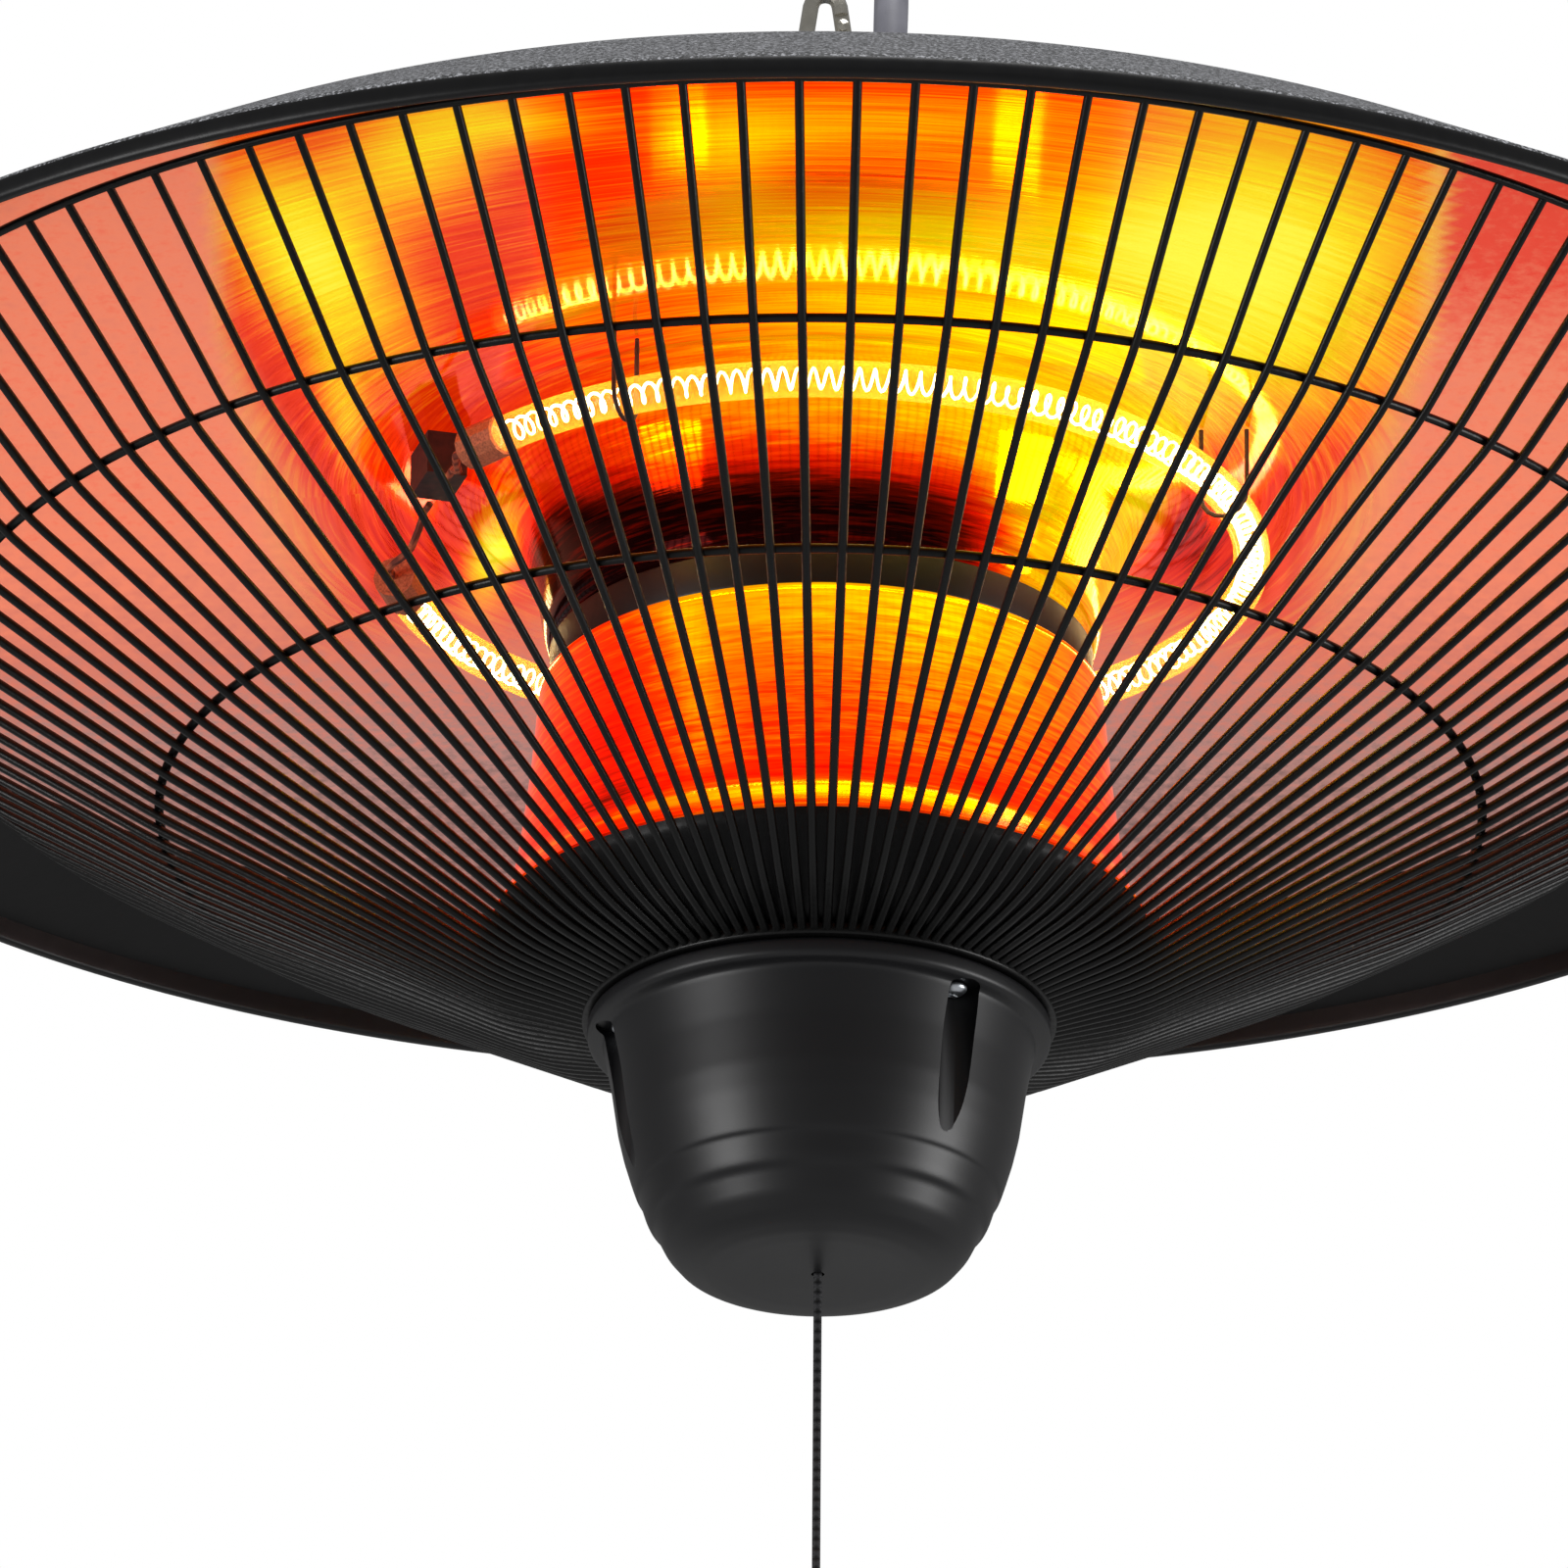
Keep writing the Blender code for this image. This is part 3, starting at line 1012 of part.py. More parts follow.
def plug_frame():
    """Where the plug's sleeve starts, and the direction in which the plug lies."""
    ahead = Vector((cos(PLUG_PITCH) * cos(PLUG_HEADING), cos(PLUG_PITCH) * sin(PLUG_HEADING), sin(PLUG_PITCH)))
    rest_length = PLUG_RELIEF_L + GAP + PLUG_TAPER_L
    rest_h = CANOPY_H + GAP + PLUG_R * cos(PLUG_PITCH)
    return Vector((*PLUG_START, rest_h - rest_length * sin(PLUG_PITCH))), ahead


def make_cable(heater):
    start, end, heading = coil_ends()
    route = [(GLAND_X, GLAND_Y, RELIEF_TOP_H + GAP)] + [tuple(c * MM for c in point) for point in CABLE_RISE]
    route += [start - heading * 4 * CABLE_R + Vector((0, 0, CABLE_R / 4)), start - heading * 2 * CABLE_R]
    route.append(start - heading * GAP)
    points = smooth_route(route, 4 * CABLE_R)
    carry(tube("power_cable", points, CABLE_R, cable_grey, resolution=2), heater)

    turns = coil_points()
    coil = [start] + turns + [end]
    print("coil gap mm", round(1000 * self_gap(coil, CABLE_R, 8 * CABLE_R), 2))
    carry(tube("cable_coil", coil, CABLE_R, cable_grey, resolution=1), heater)

    plug_start, ahead = plug_frame()
    lead = [end + heading * GAP, end + heading * 2 * CABLE_R, end + heading * 5 * CABLE_R]
    lead += [plug_start - ahead * 2 * CABLE_R, plug_start - ahead * GAP]
    carry(tube("plug_cable", smooth_route(lead, 2 * CABLE_R), CABLE_R, cable_grey), heater)
    make_tie(heater)
    make_plug(heater, plug_start, ahead)
    print("cable length m", round(sum((b - a).length for a, b in zip(points, points[1:])), 3),
          round(sum((b - a).length for a, b in zip(coil, coil[1:])), 3))


def make_tie(heater):
    """A band round both layers of the coil."""
    clear = CABLE_R + TIE_CLEARANCE
    inner = (COIL_INNER_R - clear, COIL_LOW_H - clear, COIL_OUTER_R + clear, COIL_HIGH_H + clear)
    outer = (inner[0] - TIE_T, inner[1] - TIE_T, inner[2] + TIE_T, inner[3] + TIE_T)
    loops = []
    for (left, low, right, high), y in ((outer, -1), (outer, 1), (inner, 1), (inner, -1)):
        side = y * TIE_WIDTH / 2
        loops.append([(left, side, low), (right, side, low), (right, side, high), (left, side, high)])
    tie = carry(mesh_object("cable_tie", loft(loops, closed=True), cup_plastic), heater)
    tie.rotation_euler.z = TIE_AZIMUTH


def make_plug(heater, start, ahead):
    across = ahead.cross(Vector((0, 0, 1))).normalized()
    turn = ahead.to_track_quat("Z", "Y").to_euler()
    place = Vector((0, 0, DATUM_Z)) + start
    profile = [(0, PLUG_RELIEF_L), (RELIEF_ROOT_R, PLUG_RELIEF_L), (RELIEF_TIP_R, 0), (0, 0)]
    relief = carry(mesh_object("plug_relief", lathe(profile, 16, closed=False), cup_plastic), heater, place)
    relief.rotation_euler = turn
    place += ahead * (PLUG_RELIEF_L + GAP)
    profile = [(0, PLUG_L), (PLUG_R - PLUG_EDGE, PLUG_L), (PLUG_R, PLUG_L - PLUG_EDGE), (PLUG_R, PLUG_TAPER_L)]
    profile += [(PLUG_REAR_R, 0), (0, 0)]
    plug = carry(mesh_object("plug_body", lathe(profile, 20, closed=False), cup_plastic), heater, place)
    plug.rotation_euler = turn
    for i, side in enumerate((-1, 1)):
        root = place + ahead * (PLUG_L + GAP) + across * side * PIN_SPACING / 2
        profile = [(0, PIN_L), (0.6 * PIN_R, PIN_L), (PIN_R, PIN_L - PIN_R), (PIN_R, 0), (0, 0)]
        pin = mesh_object("plug_pin_%d" % (i + 1), lathe(profile, 12, closed=False), nickel)
        carry(pin, heater, root).rotation_euler = turn


def build():
    for item in list(bpy.data.objects):
        bpy.data.objects.remove(item, do_unlink=True)
    hanger = body("hanger", (0, 0, 0))
    gate_body = body("gate", gate_hinge(), hanger)
    heater = body("heater", (0, 0, SWING_Z), hanger)
    pull = body("pull", (0, 0, DATUM_Z + CUP_BOTTOM_H), heater)
    rotor_place = (ROTOR_X, 0, DATUM_Z + SWITCH_TOP_H - ROTOR_DROP)
    rotor_body = body("rotor", rotor_place, heater)
    make_hook(hanger, gate_body)
    make_eye_bolt(heater)
    make_canopy(heater)
    make_reflector(heater)
    make_hub(heater)
    make_support_tube(heater)
    make_guard(heater)
    make_guard_clips(heater)
    make_lamp(heater)
    make_wiring(heater)
    make_cup(heater)
    make_switch(heater, pull, rotor_body)
    make_gland(heater)
    make_cable(heater)


build()
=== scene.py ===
"""Hanging infrared heater, seen from in front and below.

Metres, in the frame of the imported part: the origin is where the snap hook bears on what holds it.
Sizes are written in millimetres, and heights are measured up from the plane of the guard's inner ring.
"""

from math import cos, exp, hypot, pi, radians, sin, tan, tau

import bmesh
import bpy
from mathutils import Matrix, Vector


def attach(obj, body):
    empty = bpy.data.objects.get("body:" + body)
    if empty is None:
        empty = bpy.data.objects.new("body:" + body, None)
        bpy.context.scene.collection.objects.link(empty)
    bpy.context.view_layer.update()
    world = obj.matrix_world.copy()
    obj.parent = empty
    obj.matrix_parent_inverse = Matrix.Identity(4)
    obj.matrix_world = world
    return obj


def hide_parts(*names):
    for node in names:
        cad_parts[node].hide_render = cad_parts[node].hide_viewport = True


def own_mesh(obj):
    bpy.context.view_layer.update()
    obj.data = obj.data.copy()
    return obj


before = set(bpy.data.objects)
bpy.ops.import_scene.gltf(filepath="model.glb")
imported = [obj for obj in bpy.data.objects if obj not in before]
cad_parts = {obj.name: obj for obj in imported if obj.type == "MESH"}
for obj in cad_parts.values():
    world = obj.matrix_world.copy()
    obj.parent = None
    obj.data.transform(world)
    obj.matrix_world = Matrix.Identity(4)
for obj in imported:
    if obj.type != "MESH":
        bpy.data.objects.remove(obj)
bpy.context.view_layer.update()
scene = bpy.context.scene

# ---------------------------------------------------------------- Camera
# The photograph was taken from far off with a long lens, 23 degrees below the heater.
PITCH = 0.4083
ROLL = 0.0067
SENSOR_WIDTH = 36
LENS = 457.07
CAMERA_PLACE = (-0.0089, -4.4348, -2.1287)

forward = Vector((0, cos(PITCH), sin(PITCH)))
level_up = Vector((0, -sin(PITCH), cos(PITCH)))
right = cos(ROLL) * Vector((1, 0, 0)) + sin(ROLL) * level_up
upward = cos(ROLL) * level_up - sin(ROLL) * Vector((1, 0, 0))
camera = bpy.data.objects.new("camera", bpy.data.cameras.new("camera"))
scene.collection.objects.link(camera)
camera.data.sensor_width = SENSOR_WIDTH
camera.data.lens = LENS
camera_turn = Matrix((right, upward, -forward)).transposed().to_4x4()
camera.matrix_world = Matrix.Translation(CAMERA_PLACE) @ camera_turn
scene.camera = camera
scene.view_settings.view_transform = "Standard"

# ---------------------------------------------------------------- Mains cable
# Round three-core rubber cable, extruded with a matt dark grey jacket.
# It rises out of the gland, bends over and lies in three tied turns on the canopy, with its plug beside them.
MM = 0.001
DATUM = -219.1
CABLE_D = 8.0
COIL_R = 42.0
COIL_PITCH = 8.5
COIL_TURNS = 3
COIL_START = radians(120)
COIL_STEPS = 32
COIL_HIGH = 143.4
COIL_LOW = 134.9
PLUG_START = (-72.0, 18.0, 139.48)
PLUG_AHEAD = Vector((-0.6330, -0.7544, 0.1736))
MEETING_GAP = 0.3


def at(x, y, height):
    """A point given in millimetres, as metres in the part's frame."""
    return Vector((x, y, height + DATUM)) * MM


def colour(code):
    """An sRGB hex value as linear red, green, blue and full alpha."""
    parts = [int(code[i:i + 2], 16) / 255 for i in (1, 3, 5)]
    return tuple(c / 12.92 if c <= 0.04045 else ((c + 0.055) / 1.055) ** 2.4 for c in parts) + (1.0,)


def add_node(tree, kind, inputs=(), **settings):
    """Add a node. Inputs are constants or other nodes' outputs, under the socket's name or number."""
    made = tree.nodes.new(kind)
    for name, value in settings.items():
        setattr(made, name, value)
    for key, value in dict(inputs).items():
        if isinstance(value, bpy.types.NodeSocket):
            tree.links.new(value, made.inputs[key])
        else:
            made.inputs[key].default_value = value
    return made


def calc(tree, operation, *values):
    """The result of a Math node on constants or other nodes' outputs."""
    return add_node(tree, "ShaderNodeMath", dict(enumerate(values)), operation=operation).outputs["Value"]


def remap(tree, value, to_low, to_high, low=0.0, high=1.0):
    """A value moved from one range to another, and kept in it."""
    made = add_node(tree, "ShaderNodeMapRange", {
        "Value": value, "From Min": low, "From Max": high, "To Min": to_low, "To Max": to_high})
    return made.outputs["Result"]


def noise(tree, place, scale, detail, roughness=0.5):
    """Fractal noise from 0 to 1 at a place."""
    return add_node(tree, "ShaderNodeTexNoise", {
        "Vector": place, "Scale": scale, "Detail": detail, "Roughness": roughness}).outputs["Fac"]


def bumped(tree, height, strength, depth):
    """A surface's normal, tilted by a height whose full range is a depth in metres."""
    return add_node(tree, "ShaderNodeBump", {
        "Height": height, "Strength": strength, "Distance": depth}).outputs["Normal"]


def colour_ramp(tree, value, stops):
    """The colour that a value has on a ramp of (position, hex colour) stops."""
    made = add_node(tree, "ShaderNodeValToRGB", {"Fac": value})
    elements = made.color_ramp.elements
    while len(elements) < len(stops):
        elements.new(1.0)
    for element, (position, code) in zip(elements, stops):
        element.position = position
        element.color = colour(code)
    return made.outputs["Color"]


def feed(shader, name, value):
    """Drive one of a shader's inputs by another node's output."""
    shader.id_data.links.new(value, shader.inputs[name])


def new_finish(name, shader_inputs):
    """A material, its node tree, its shader with constants on its own sockets, and object coordinates."""
    made = bpy.data.materials.new(name)
    made.use_nodes = True
    tree = made.node_tree
    shader = tree.nodes["Principled BSDF"]
    for key, value in shader_inputs.items():
        shader.inputs[key].default_value = value
    return made, tree, shader, add_node(tree, "ShaderNodeTexCoord").outputs["Object"]


def paint(finish, *names):
    """Give a finish to CAD nodes that are shown as they are."""
    for name in names:
        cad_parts[name].material_slots[0].material = finish


def smooth_route(points, step):
    """Points about one step apart on a smooth curve through the route's own points."""
    knots = [Vector(point) for point in points]
    knots = [2 * knots[0] - knots[1]] + knots + [2 * knots[-1] - knots[-2]]
    route = []
    for a, b, c, d in zip(knots, knots[1:], knots[2:], knots[3:]):
        count = max(1, round((c - b).length / step))
        for i in range(count):
            t = i / count
            curve = (2 * a - 5 * b + 4 * c - d) * t * t + (3 * b - a - 3 * c + d) * t ** 3
            route.append((2 * b + (c - a) * t + curve) / 2)
    route.append(knots[-2])
    return route


def wire_curve(name, points, radius, finish, sides=3, cyclic=False):
    """A round wire or cord along points in metres, linked into the scene."""
    curve = bpy.data.curves.new(name, "CURVE")
    curve.dimensions = "3D"
    curve.bevel_depth = radius * MM
    curve.bevel_resolution = sides
    curve.use_fill_caps = not cyclic
    spline = curve.splines.new("POLY")
    spline.points.add(len(points) - 1)
    for slot, point in zip(spline.points, points):
        slot.co = (*point, 1)
    spline.use_cyclic_u = cyclic
    spline.use_smooth = True
    curve.materials.append(finish)
    made = bpy.data.objects.new(name, curve)
    scene.collection.objects.link(made)
    return made


# Extruded rubber: matt, with a faint grain of 0.5 mm that breaks up its highlight.
rubber, tree, shader, coords = new_finish("extruded_grey_rubber", {
    "Roughness": 0.55, "Specular IOR Level": 0.35})
grain = noise(tree, coords, 2000, 2)
shade = noise(tree, coords, 60, 3)
feed(shader, "Base Color", colour_ramp(tree, shade, [(0.3, "#5A5A62"), (0.7, "#74747C")]))
feed(shader, "Normal", bumped(tree, grain, 0.25, 0.0002))

heading = Vector((-sin(COIL_START), cos(COIL_START), 0))
coil_reach = COIL_R + COIL_PITCH * COIL_TURNS / 2
coil_side = coil_reach * Vector((cos(COIL_START), sin(COIL_START), 0))
coil_in = coil_side + Vector((0, 0, COIL_HIGH)) - CABLE_D * heading
coil_out = coil_side + Vector((0, 0, COIL_LOW)) + CABLE_D * heading
rise = [(11.5, 25, 177.2), (11.7, 25, 186), (13.5, 25.1, 199), (15.7, 25.8, 212), (16.6, 28.6, 227),
        (16.8, 36.5, 243), (16.7, 50, 254), (16.5, 64, 256), (16.3, 78, 251), (16.2, 88, 240),
        (16.2, 92.5, 226), (16.2, 93.5, 210), (16, 91.5, 194), (14.6, 86.5, 177), (10.6, 78.5, 161),
        (3, 69, 150),
        coil_in - 16 * heading + Vector((0, 0, 1)), coil_in - 8 * heading, coil_in - MEETING_GAP * heading]
turns = []
middle = pi * COIL_TURNS
for i in range(COIL_STEPS * COIL_TURNS + 1):
    turn = tau * i / COIL_STEPS
    reach = COIL_R + COIL_PITCH * abs(turn - middle) / tau
    share = min(max((turn - middle + pi / 2) / pi, 0), 1)
    drop = COIL_HIGH + (COIL_LOW - COIL_HIGH) * (1 - cos(pi * share)) / 2
    turns.append(Vector((reach * cos(COIL_START + turn), reach * sin(COIL_START + turn), drop)))
plug_start = Vector(PLUG_START)
tail = [coil_out + MEETING_GAP * heading, coil_out + 8 * heading, coil_out + 20 * heading,
        plug_start - 9 * PLUG_AHEAD, plug_start - MEETING_GAP * PLUG_AHEAD]
cable_route = smooth_route(rise, 6) + turns + smooth_route(tail, 5)
cable_points = [at(*point) for point in cable_route]
mains_cable = wire_curve("mains_cable", cable_points, CABLE_D / 2, rubber, sides=4)
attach(mains_cable, "heater")
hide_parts("power_cable", "cable_coil", "plug_cable")


# ---------------------------------------------------------------- Gland, strain relief, cable tie and plug
# Black nylon fittings, injection moulded, with a satin face.
# The gland screws through the top plate, the sleeve tapers round the cable, and the plug is moulded on it.
GLAND = (11.5, 25)
SLEEVE_R = 7.0
SLEEVE_TIP_R = 5.2
SLEEVE_L = 30.0
RIBS_FROM = 0.8
RIBS_L = 28.2
RIB_DEPTH = 0.45
RIB_STEPS = 14
PLUG_SLEEVE_L = 25.0
PLUG_RIBS_SHARE = 0.86


def rounded(points, radius, steps=4):
    """An outline in millimetres with each inner corner eased to about that radius."""
    eased = [points[0]]
    for before, here, after in zip(points, points[1:], points[2:]):
        a, b, c = (Vector(point) for point in (before, here, after))
        reach_in = min(radius, 0.45 * (a - b).length)
        reach_out = min(radius, 0.45 * (c - b).length)
        first = b + (a - b).normalized() * reach_in
        last = b + (c - b).normalized() * reach_out
        for i in range(steps + 1):
            t = i / steps
            eased.append(tuple(first * (1 - t) ** 2 + b * 2 * t * (1 - t) + last * t * t))
    return eased + [points[-1]]


def turned(name, profile, finish, steps=96, closed=True, place=None, sharp=35):
    """Turn a millimetre outline of (radius, height) about Z. An open outline starts and ends on the axis."""
    bm = bmesh.new()
    verts = [bm.verts.new((r * MM, 0, h * MM)) for r, h in profile]
    edges = [bm.edges.new(pair) for pair in zip(verts, verts[1:])]
    if closed:
        edges.append(bm.edges.new((verts[-1], verts[0])))
    bmesh.ops.spin(bm, geom=verts + edges, cent=(0, 0, 0), axis=(0, 0, 1), angle=tau, steps=steps)
    bmesh.ops.remove_doubles(bm, verts=bm.verts[:], dist=1e-6)
    bmesh.ops.dissolve_degenerate(bm, edges=bm.edges[:], dist=1e-7)
    bmesh.ops.recalc_face_normals(bm, faces=bm.faces[:])
    bmesh.ops.transform(bm, matrix=place or Matrix.Translation(at(0, 0, 0)), verts=bm.verts[:])
    return finished(name, bm, finish, sharp)


def finished(name, bm, finish, sharp=35):
    """A bmesh as an object of the scene, smooth except across its sharp edges."""
    mesh = bpy.data.meshes.new(name)
    bm.to_mesh(mesh)
    bm.free()
    mesh.materials.append(finish)
    mesh.shade_smooth()
    mesh.set_sharp_from_angle(angle=radians(sharp))
    made = bpy.data.objects.new(name, mesh)
    scene.collection.objects.link(made)
    return made


def stand_for(made, body, slot, *nodes):
    """Let a finished piece ride on its body in place of its CAD nodes."""
    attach(made, body)
    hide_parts(*nodes)
    return made


# Moulded nylon: deep black, satin, with a faint spark-eroded grain of 0.4 mm.
nylon, tree, shader, coords = new_finish("moulded_black_nylon", {
    "Base Color": colour("#161617"), "Roughness": 0.42, "Specular IOR Level": 0.3})
grain = noise(tree, coords, 2500, 1)
feed(shader, "Normal", bumped(tree, grain, 0.15, 0.0001))

# Nickel-plated brass: bright and slightly warm.
nickel, tree, shader, coords = new_finish("nickel_plated_brass", {
    "Base Color": colour("#CFC9BC"), "Metallic": 1.0, "Roughness": 0.2})
worn = noise(tree, coords, 400, 4)
feed(shader, "Roughness", remap(tree, worn, 0.14, 0.32))

gland_line = rounded([(0, 15), (6.75, 15), (8.55, 11.25), (8.55, 6.75), (9, 6), (9, 0), (6, 0),
                      (6, -9.5), (0, -9.5)], 0.5, 3)
gland = turned("gland_body", gland_line, nylon, 48, False, Matrix.Translation(at(*GLAND, 131.6)))
stand_for(gland, "heater", "black_plastic", "cable_gland")
ribs = [(SLEEVE_R - (SLEEVE_R - SLEEVE_TIP_R) * i / RIB_STEPS - RIB_DEPTH * (i % 2),
         RIBS_FROM + RIBS_L * i / RIB_STEPS) for i in range(RIB_STEPS + 1)]
sleeve_line = [(0, 0), (SLEEVE_R, 0)] + ribs + [(SLEEVE_TIP_R, SLEEVE_L), (0, SLEEVE_L)]
relief = turned("relief_sleeve", sleeve_line, nylon, 48, False, Matrix.Translation(at(*GLAND, 146.9)), 80)
stand_for(relief, "heater", "black_plastic", "strain_relief")

plug_turn = PLUG_AHEAD.to_track_quat("Z", "Y").to_matrix().to_4x4()
plug_place = Matrix.Translation(at(*plug_start)) @ plug_turn
plug_ribs = [(r, PLUG_SLEEVE_L + RIBS_FROM - h * PLUG_RIBS_SHARE) for r, h in ribs[::-1]]
plug_sleeve_line = [(0, 0), (SLEEVE_TIP_R, 0)] + plug_ribs + [(SLEEVE_R, PLUG_SLEEVE_L), (0, PLUG_SLEEVE_L)]
plug_sleeve = turned("plug_sleeve", plug_sleeve_line, nylon, 48, False, plug_place, 80)
stand_for(plug_sleeve, "heater", "black_plastic", "plug_relief")
plug_foot = plug_start + (PLUG_SLEEVE_L + MEETING_GAP) * PLUG_AHEAD
plug_place = Matrix.Translation(at(*plug_foot)) @ plug_turn
plug_outline = rounded([(0, 38), (18.5, 38), (18.5, 21), (14, 10), (9, 0), (0, 0)], 3, 5)
plug = turned("moulded_plug", plug_outline, nylon, 72, False, plug_place)
stand_for(plug, "heater", "black_plastic", "plug_body")
paint(nickel, "plug_pin_1", "plug_pin_2")
paint(nylon, "gland_nut", "cable_tie")

# ---------------------------------------------------------------- Pull cord and knob
# Thin round cord of braided black polyester, knotted in a turned black knob.
# It hangs straight down out of the cup's bottom, and works the switch when pulled.
CORD_R = 1.0
CORD_TOP = -109.6
CORD_LOW = -309.3
KNOB_TOP = -309.6
CORD_STEPS = 40

# Braided polyester: two sets of strands 1.2 mm apart cross at a slant, with a soft sheen and fine fuzz.
braid, tree, shader, coords = new_finish("braided_black_polyester", {
    "Roughness": 0.7, "Specular IOR Level": 0.3})
slants = []
for lean in (28, -28):
    slanted = add_node(tree, "ShaderNodeMapping", {"Vector": coords, "Rotation": (0, radians(lean), 0)})
    strands = add_node(tree, "ShaderNodeTexWave", {
        "Vector": slanted.outputs["Vector"], "Scale": 140, "Distortion": 0.6}, bands_direction="Z")
    slants.append(strands.outputs["Fac"])
crossing = calc(tree, "MAXIMUM", *slants)
feed(shader, "Base Color", colour_ramp(tree, crossing, [(0.2, "#0B0B0C"), (0.95, "#2C2C2E")]))
feed(shader, "Normal", bumped(tree, crossing, 0.7, 0.0004))

cord_drop = (CORD_LOW - CORD_TOP) / CORD_STEPS
cord_points = [at(0, 0, CORD_TOP + cord_drop * i) for i in range(CORD_STEPS + 1)]
pull_cord = wire_curve("braided_pull_cord", cord_points, CORD_R, braid, sides=3)
knob_line = rounded([(0, 0), (3.1, 0), (5.6, -6.4), (9, -19.7), (8.4, -24.9), (5.4, -29), (0, -29)], 2.5, 5)
knob = turned("pull_knob_turned", knob_line, nylon, 64, False, Matrix.Translation(at(0, 0, KNOB_TOP)), 50)
stand_for(knob, "pull", "black_plastic", "pull_knob")
stand_for(pull_cord, "pull", "black_cord", "pull_cord")

# ---------------------------------------------------------------- Snap hook and eye bolt
# The hook is nickel-plated spring wire bent to a pear, with a riveted gate. It carries a forged eye bolt.
# The bolt's shank goes through a zinc-plated plate and the canopy, and its nut clamps them.
BOLT_HOLE_R = 3.3
PLATE_R = 36.0
PLATE_LOW = 129.3
PLATE_T = 2.0

# Nickel-plated spring wire: bright and slightly warm, with fine wear of 3 mm patches.
plated_wire, tree, shader, coords = new_finish("nickel_plated_wire", {
    "Base Color": colour("#C9C5BA"), "Metallic": 1.0, "Roughness": 0.22})
worn = noise(tree, coords, 350, 4)
feed(shader, "Roughness", remap(tree, worn, 0.15, 0.38))
feed(shader, "Normal", bumped(tree, worn, 0.1, 0.0003))

# Bright zinc plate: bluish metal with the cloudy spangle of a barrel-plated part, patches of 3 mm.
zinc, tree, shader, coords = new_finish("bright_zinc_plate", {"Metallic": 1.0, "Roughness": 0.32})
cloud = noise(tree, coords, 300, 5, 0.6)
feed(shader, "Base Color", colour_ramp(tree, cloud, [(0.3, "#A9AEB4"), (0.7, "#CDD1D6")]))
feed(shader, "Roughness", remap(tree, cloud, 0.22, 0.45))

paint(plated_wire, "hook_body", "hook_gate", "gate_rivet", "eye_bolt", "return_spring")
paint(zinc, "eye_nut", "coupling_nut", "clamp_plate", "upper_tube_nut", "lower_tube_nut", "support_tube")
plate_line = rounded([(BOLT_HOLE_R, PLATE_LOW), (PLATE_R, PLATE_LOW), (PLATE_R, PLATE_LOW + PLATE_T),
                      (BOLT_HOLE_R, PLATE_LOW + PLATE_T)], 0.4, 3)
top_plate = turned("round_top_plate", plate_line, zinc, 96)
stand_for(top_plate, "heater", "zinc_plate", "top_plate")

# ---------------------------------------------------------------- Canopy
# Spun steel dish, 600 mm across, with a flat crown, a sloped shoulder and an upright lip folded back inside.
# The top is powder-coated in a coarse dark grey texture and the inside in smooth black. The upright lip is
# drawn in the smooth black as painted shade.
CANOPY_R = 300.0
CANOPY_T = 1.0
CROWN_R = 160.0
CROWN_H = 129.0
BEND_R = 240.0
BEND_H = 97.0
SHOULDER_R = 285.0
SHOULDER_SLOPE = radians(30)
LIP_LOW = 57.0
HEM_T = 3.0
HEM_FOLD = 2.5

# Textured powder coat: hard grains 0.9 mm across, dark grey, matt, with a painted highlight on the grain
# tops.
textured_paint, tree, shader, coords = new_finish("textured_powder_coat", {
    "Roughness": 0.6, "Specular IOR Level": 0.4})
grain = noise(tree, coords, 1100, 2, 0.6)
feed(shader, "Base Color", colour_ramp(tree, grain, [
    (0.38, "#17181A"), (0.52, "#4A4B4E"), (0.62, "#9A9BA0")]))
feed(shader, "Normal", bumped(tree, grain, 0.8, 0.0006))

# Smooth black enamel on pressed steel: satin, with a slight orange peel of 4 mm.
enamel, tree, shader, coords = new_finish("smooth_black_enamel", {
    "Base Color": colour("#0D0D0E"), "Roughness": 0.4, "Specular IOR Level": 0.22})
peel = noise(tree, coords, 250, 2)
feed(shader, "Normal", bumped(tree, peel, 0.12, 0.0006))
feed(shader, "Roughness", remap(tree, peel, 0.32, 0.46))

lip_high = BEND_H - (CANOPY_R - BEND_R) * tan(SHOULDER_SLOPE)
shoulder = (SHOULDER_R, BEND_H - (SHOULDER_R - BEND_R) * tan(SHOULDER_SLOPE))
hem_r = CANOPY_R - HEM_T
lip = [shoulder, (CANOPY_R, lip_high), (CANOPY_R, LIP_LOW), (hem_r, LIP_LOW), (hem_r, LIP_LOW + HEM_FOLD)]
outside = rounded([(BOLT_HOLE_R, CROWN_H), (CROWN_R, CROWN_H), (BEND_R, BEND_H), shoulder], 9, 6)
outside += rounded(lip, 2, 5)[1:]
inside = rounded([(hem_r, 62.94), (239.7, 95.9), (159.8, CROWN_H - CANOPY_T),
                  (BOLT_HOLE_R, CROWN_H - CANOPY_T)], 9, 6)
canopy = turned("spun_canopy", outside + inside, textured_paint, 256)
canopy.data.materials.append(enamel)
for face in canopy.data.polygons:
    lift = face.center.z / MM - DATUM
    reach = hypot(face.center.x, face.center.y) / MM
    # Painted shade: the faces of the upright lip get the smooth black enamel.
    lip_painted_shade = lift < lip_high - 0.6
    underneath = face.normal.z < 0 and (reach > BOLT_HOLE_R + 0.2 or lift < CROWN_H - CANOPY_T / 2)
    if lip_painted_shade or underneath:
        face.material_index = 1
stand_for(canopy, "heater", "textured_grey_paint", "canopy")
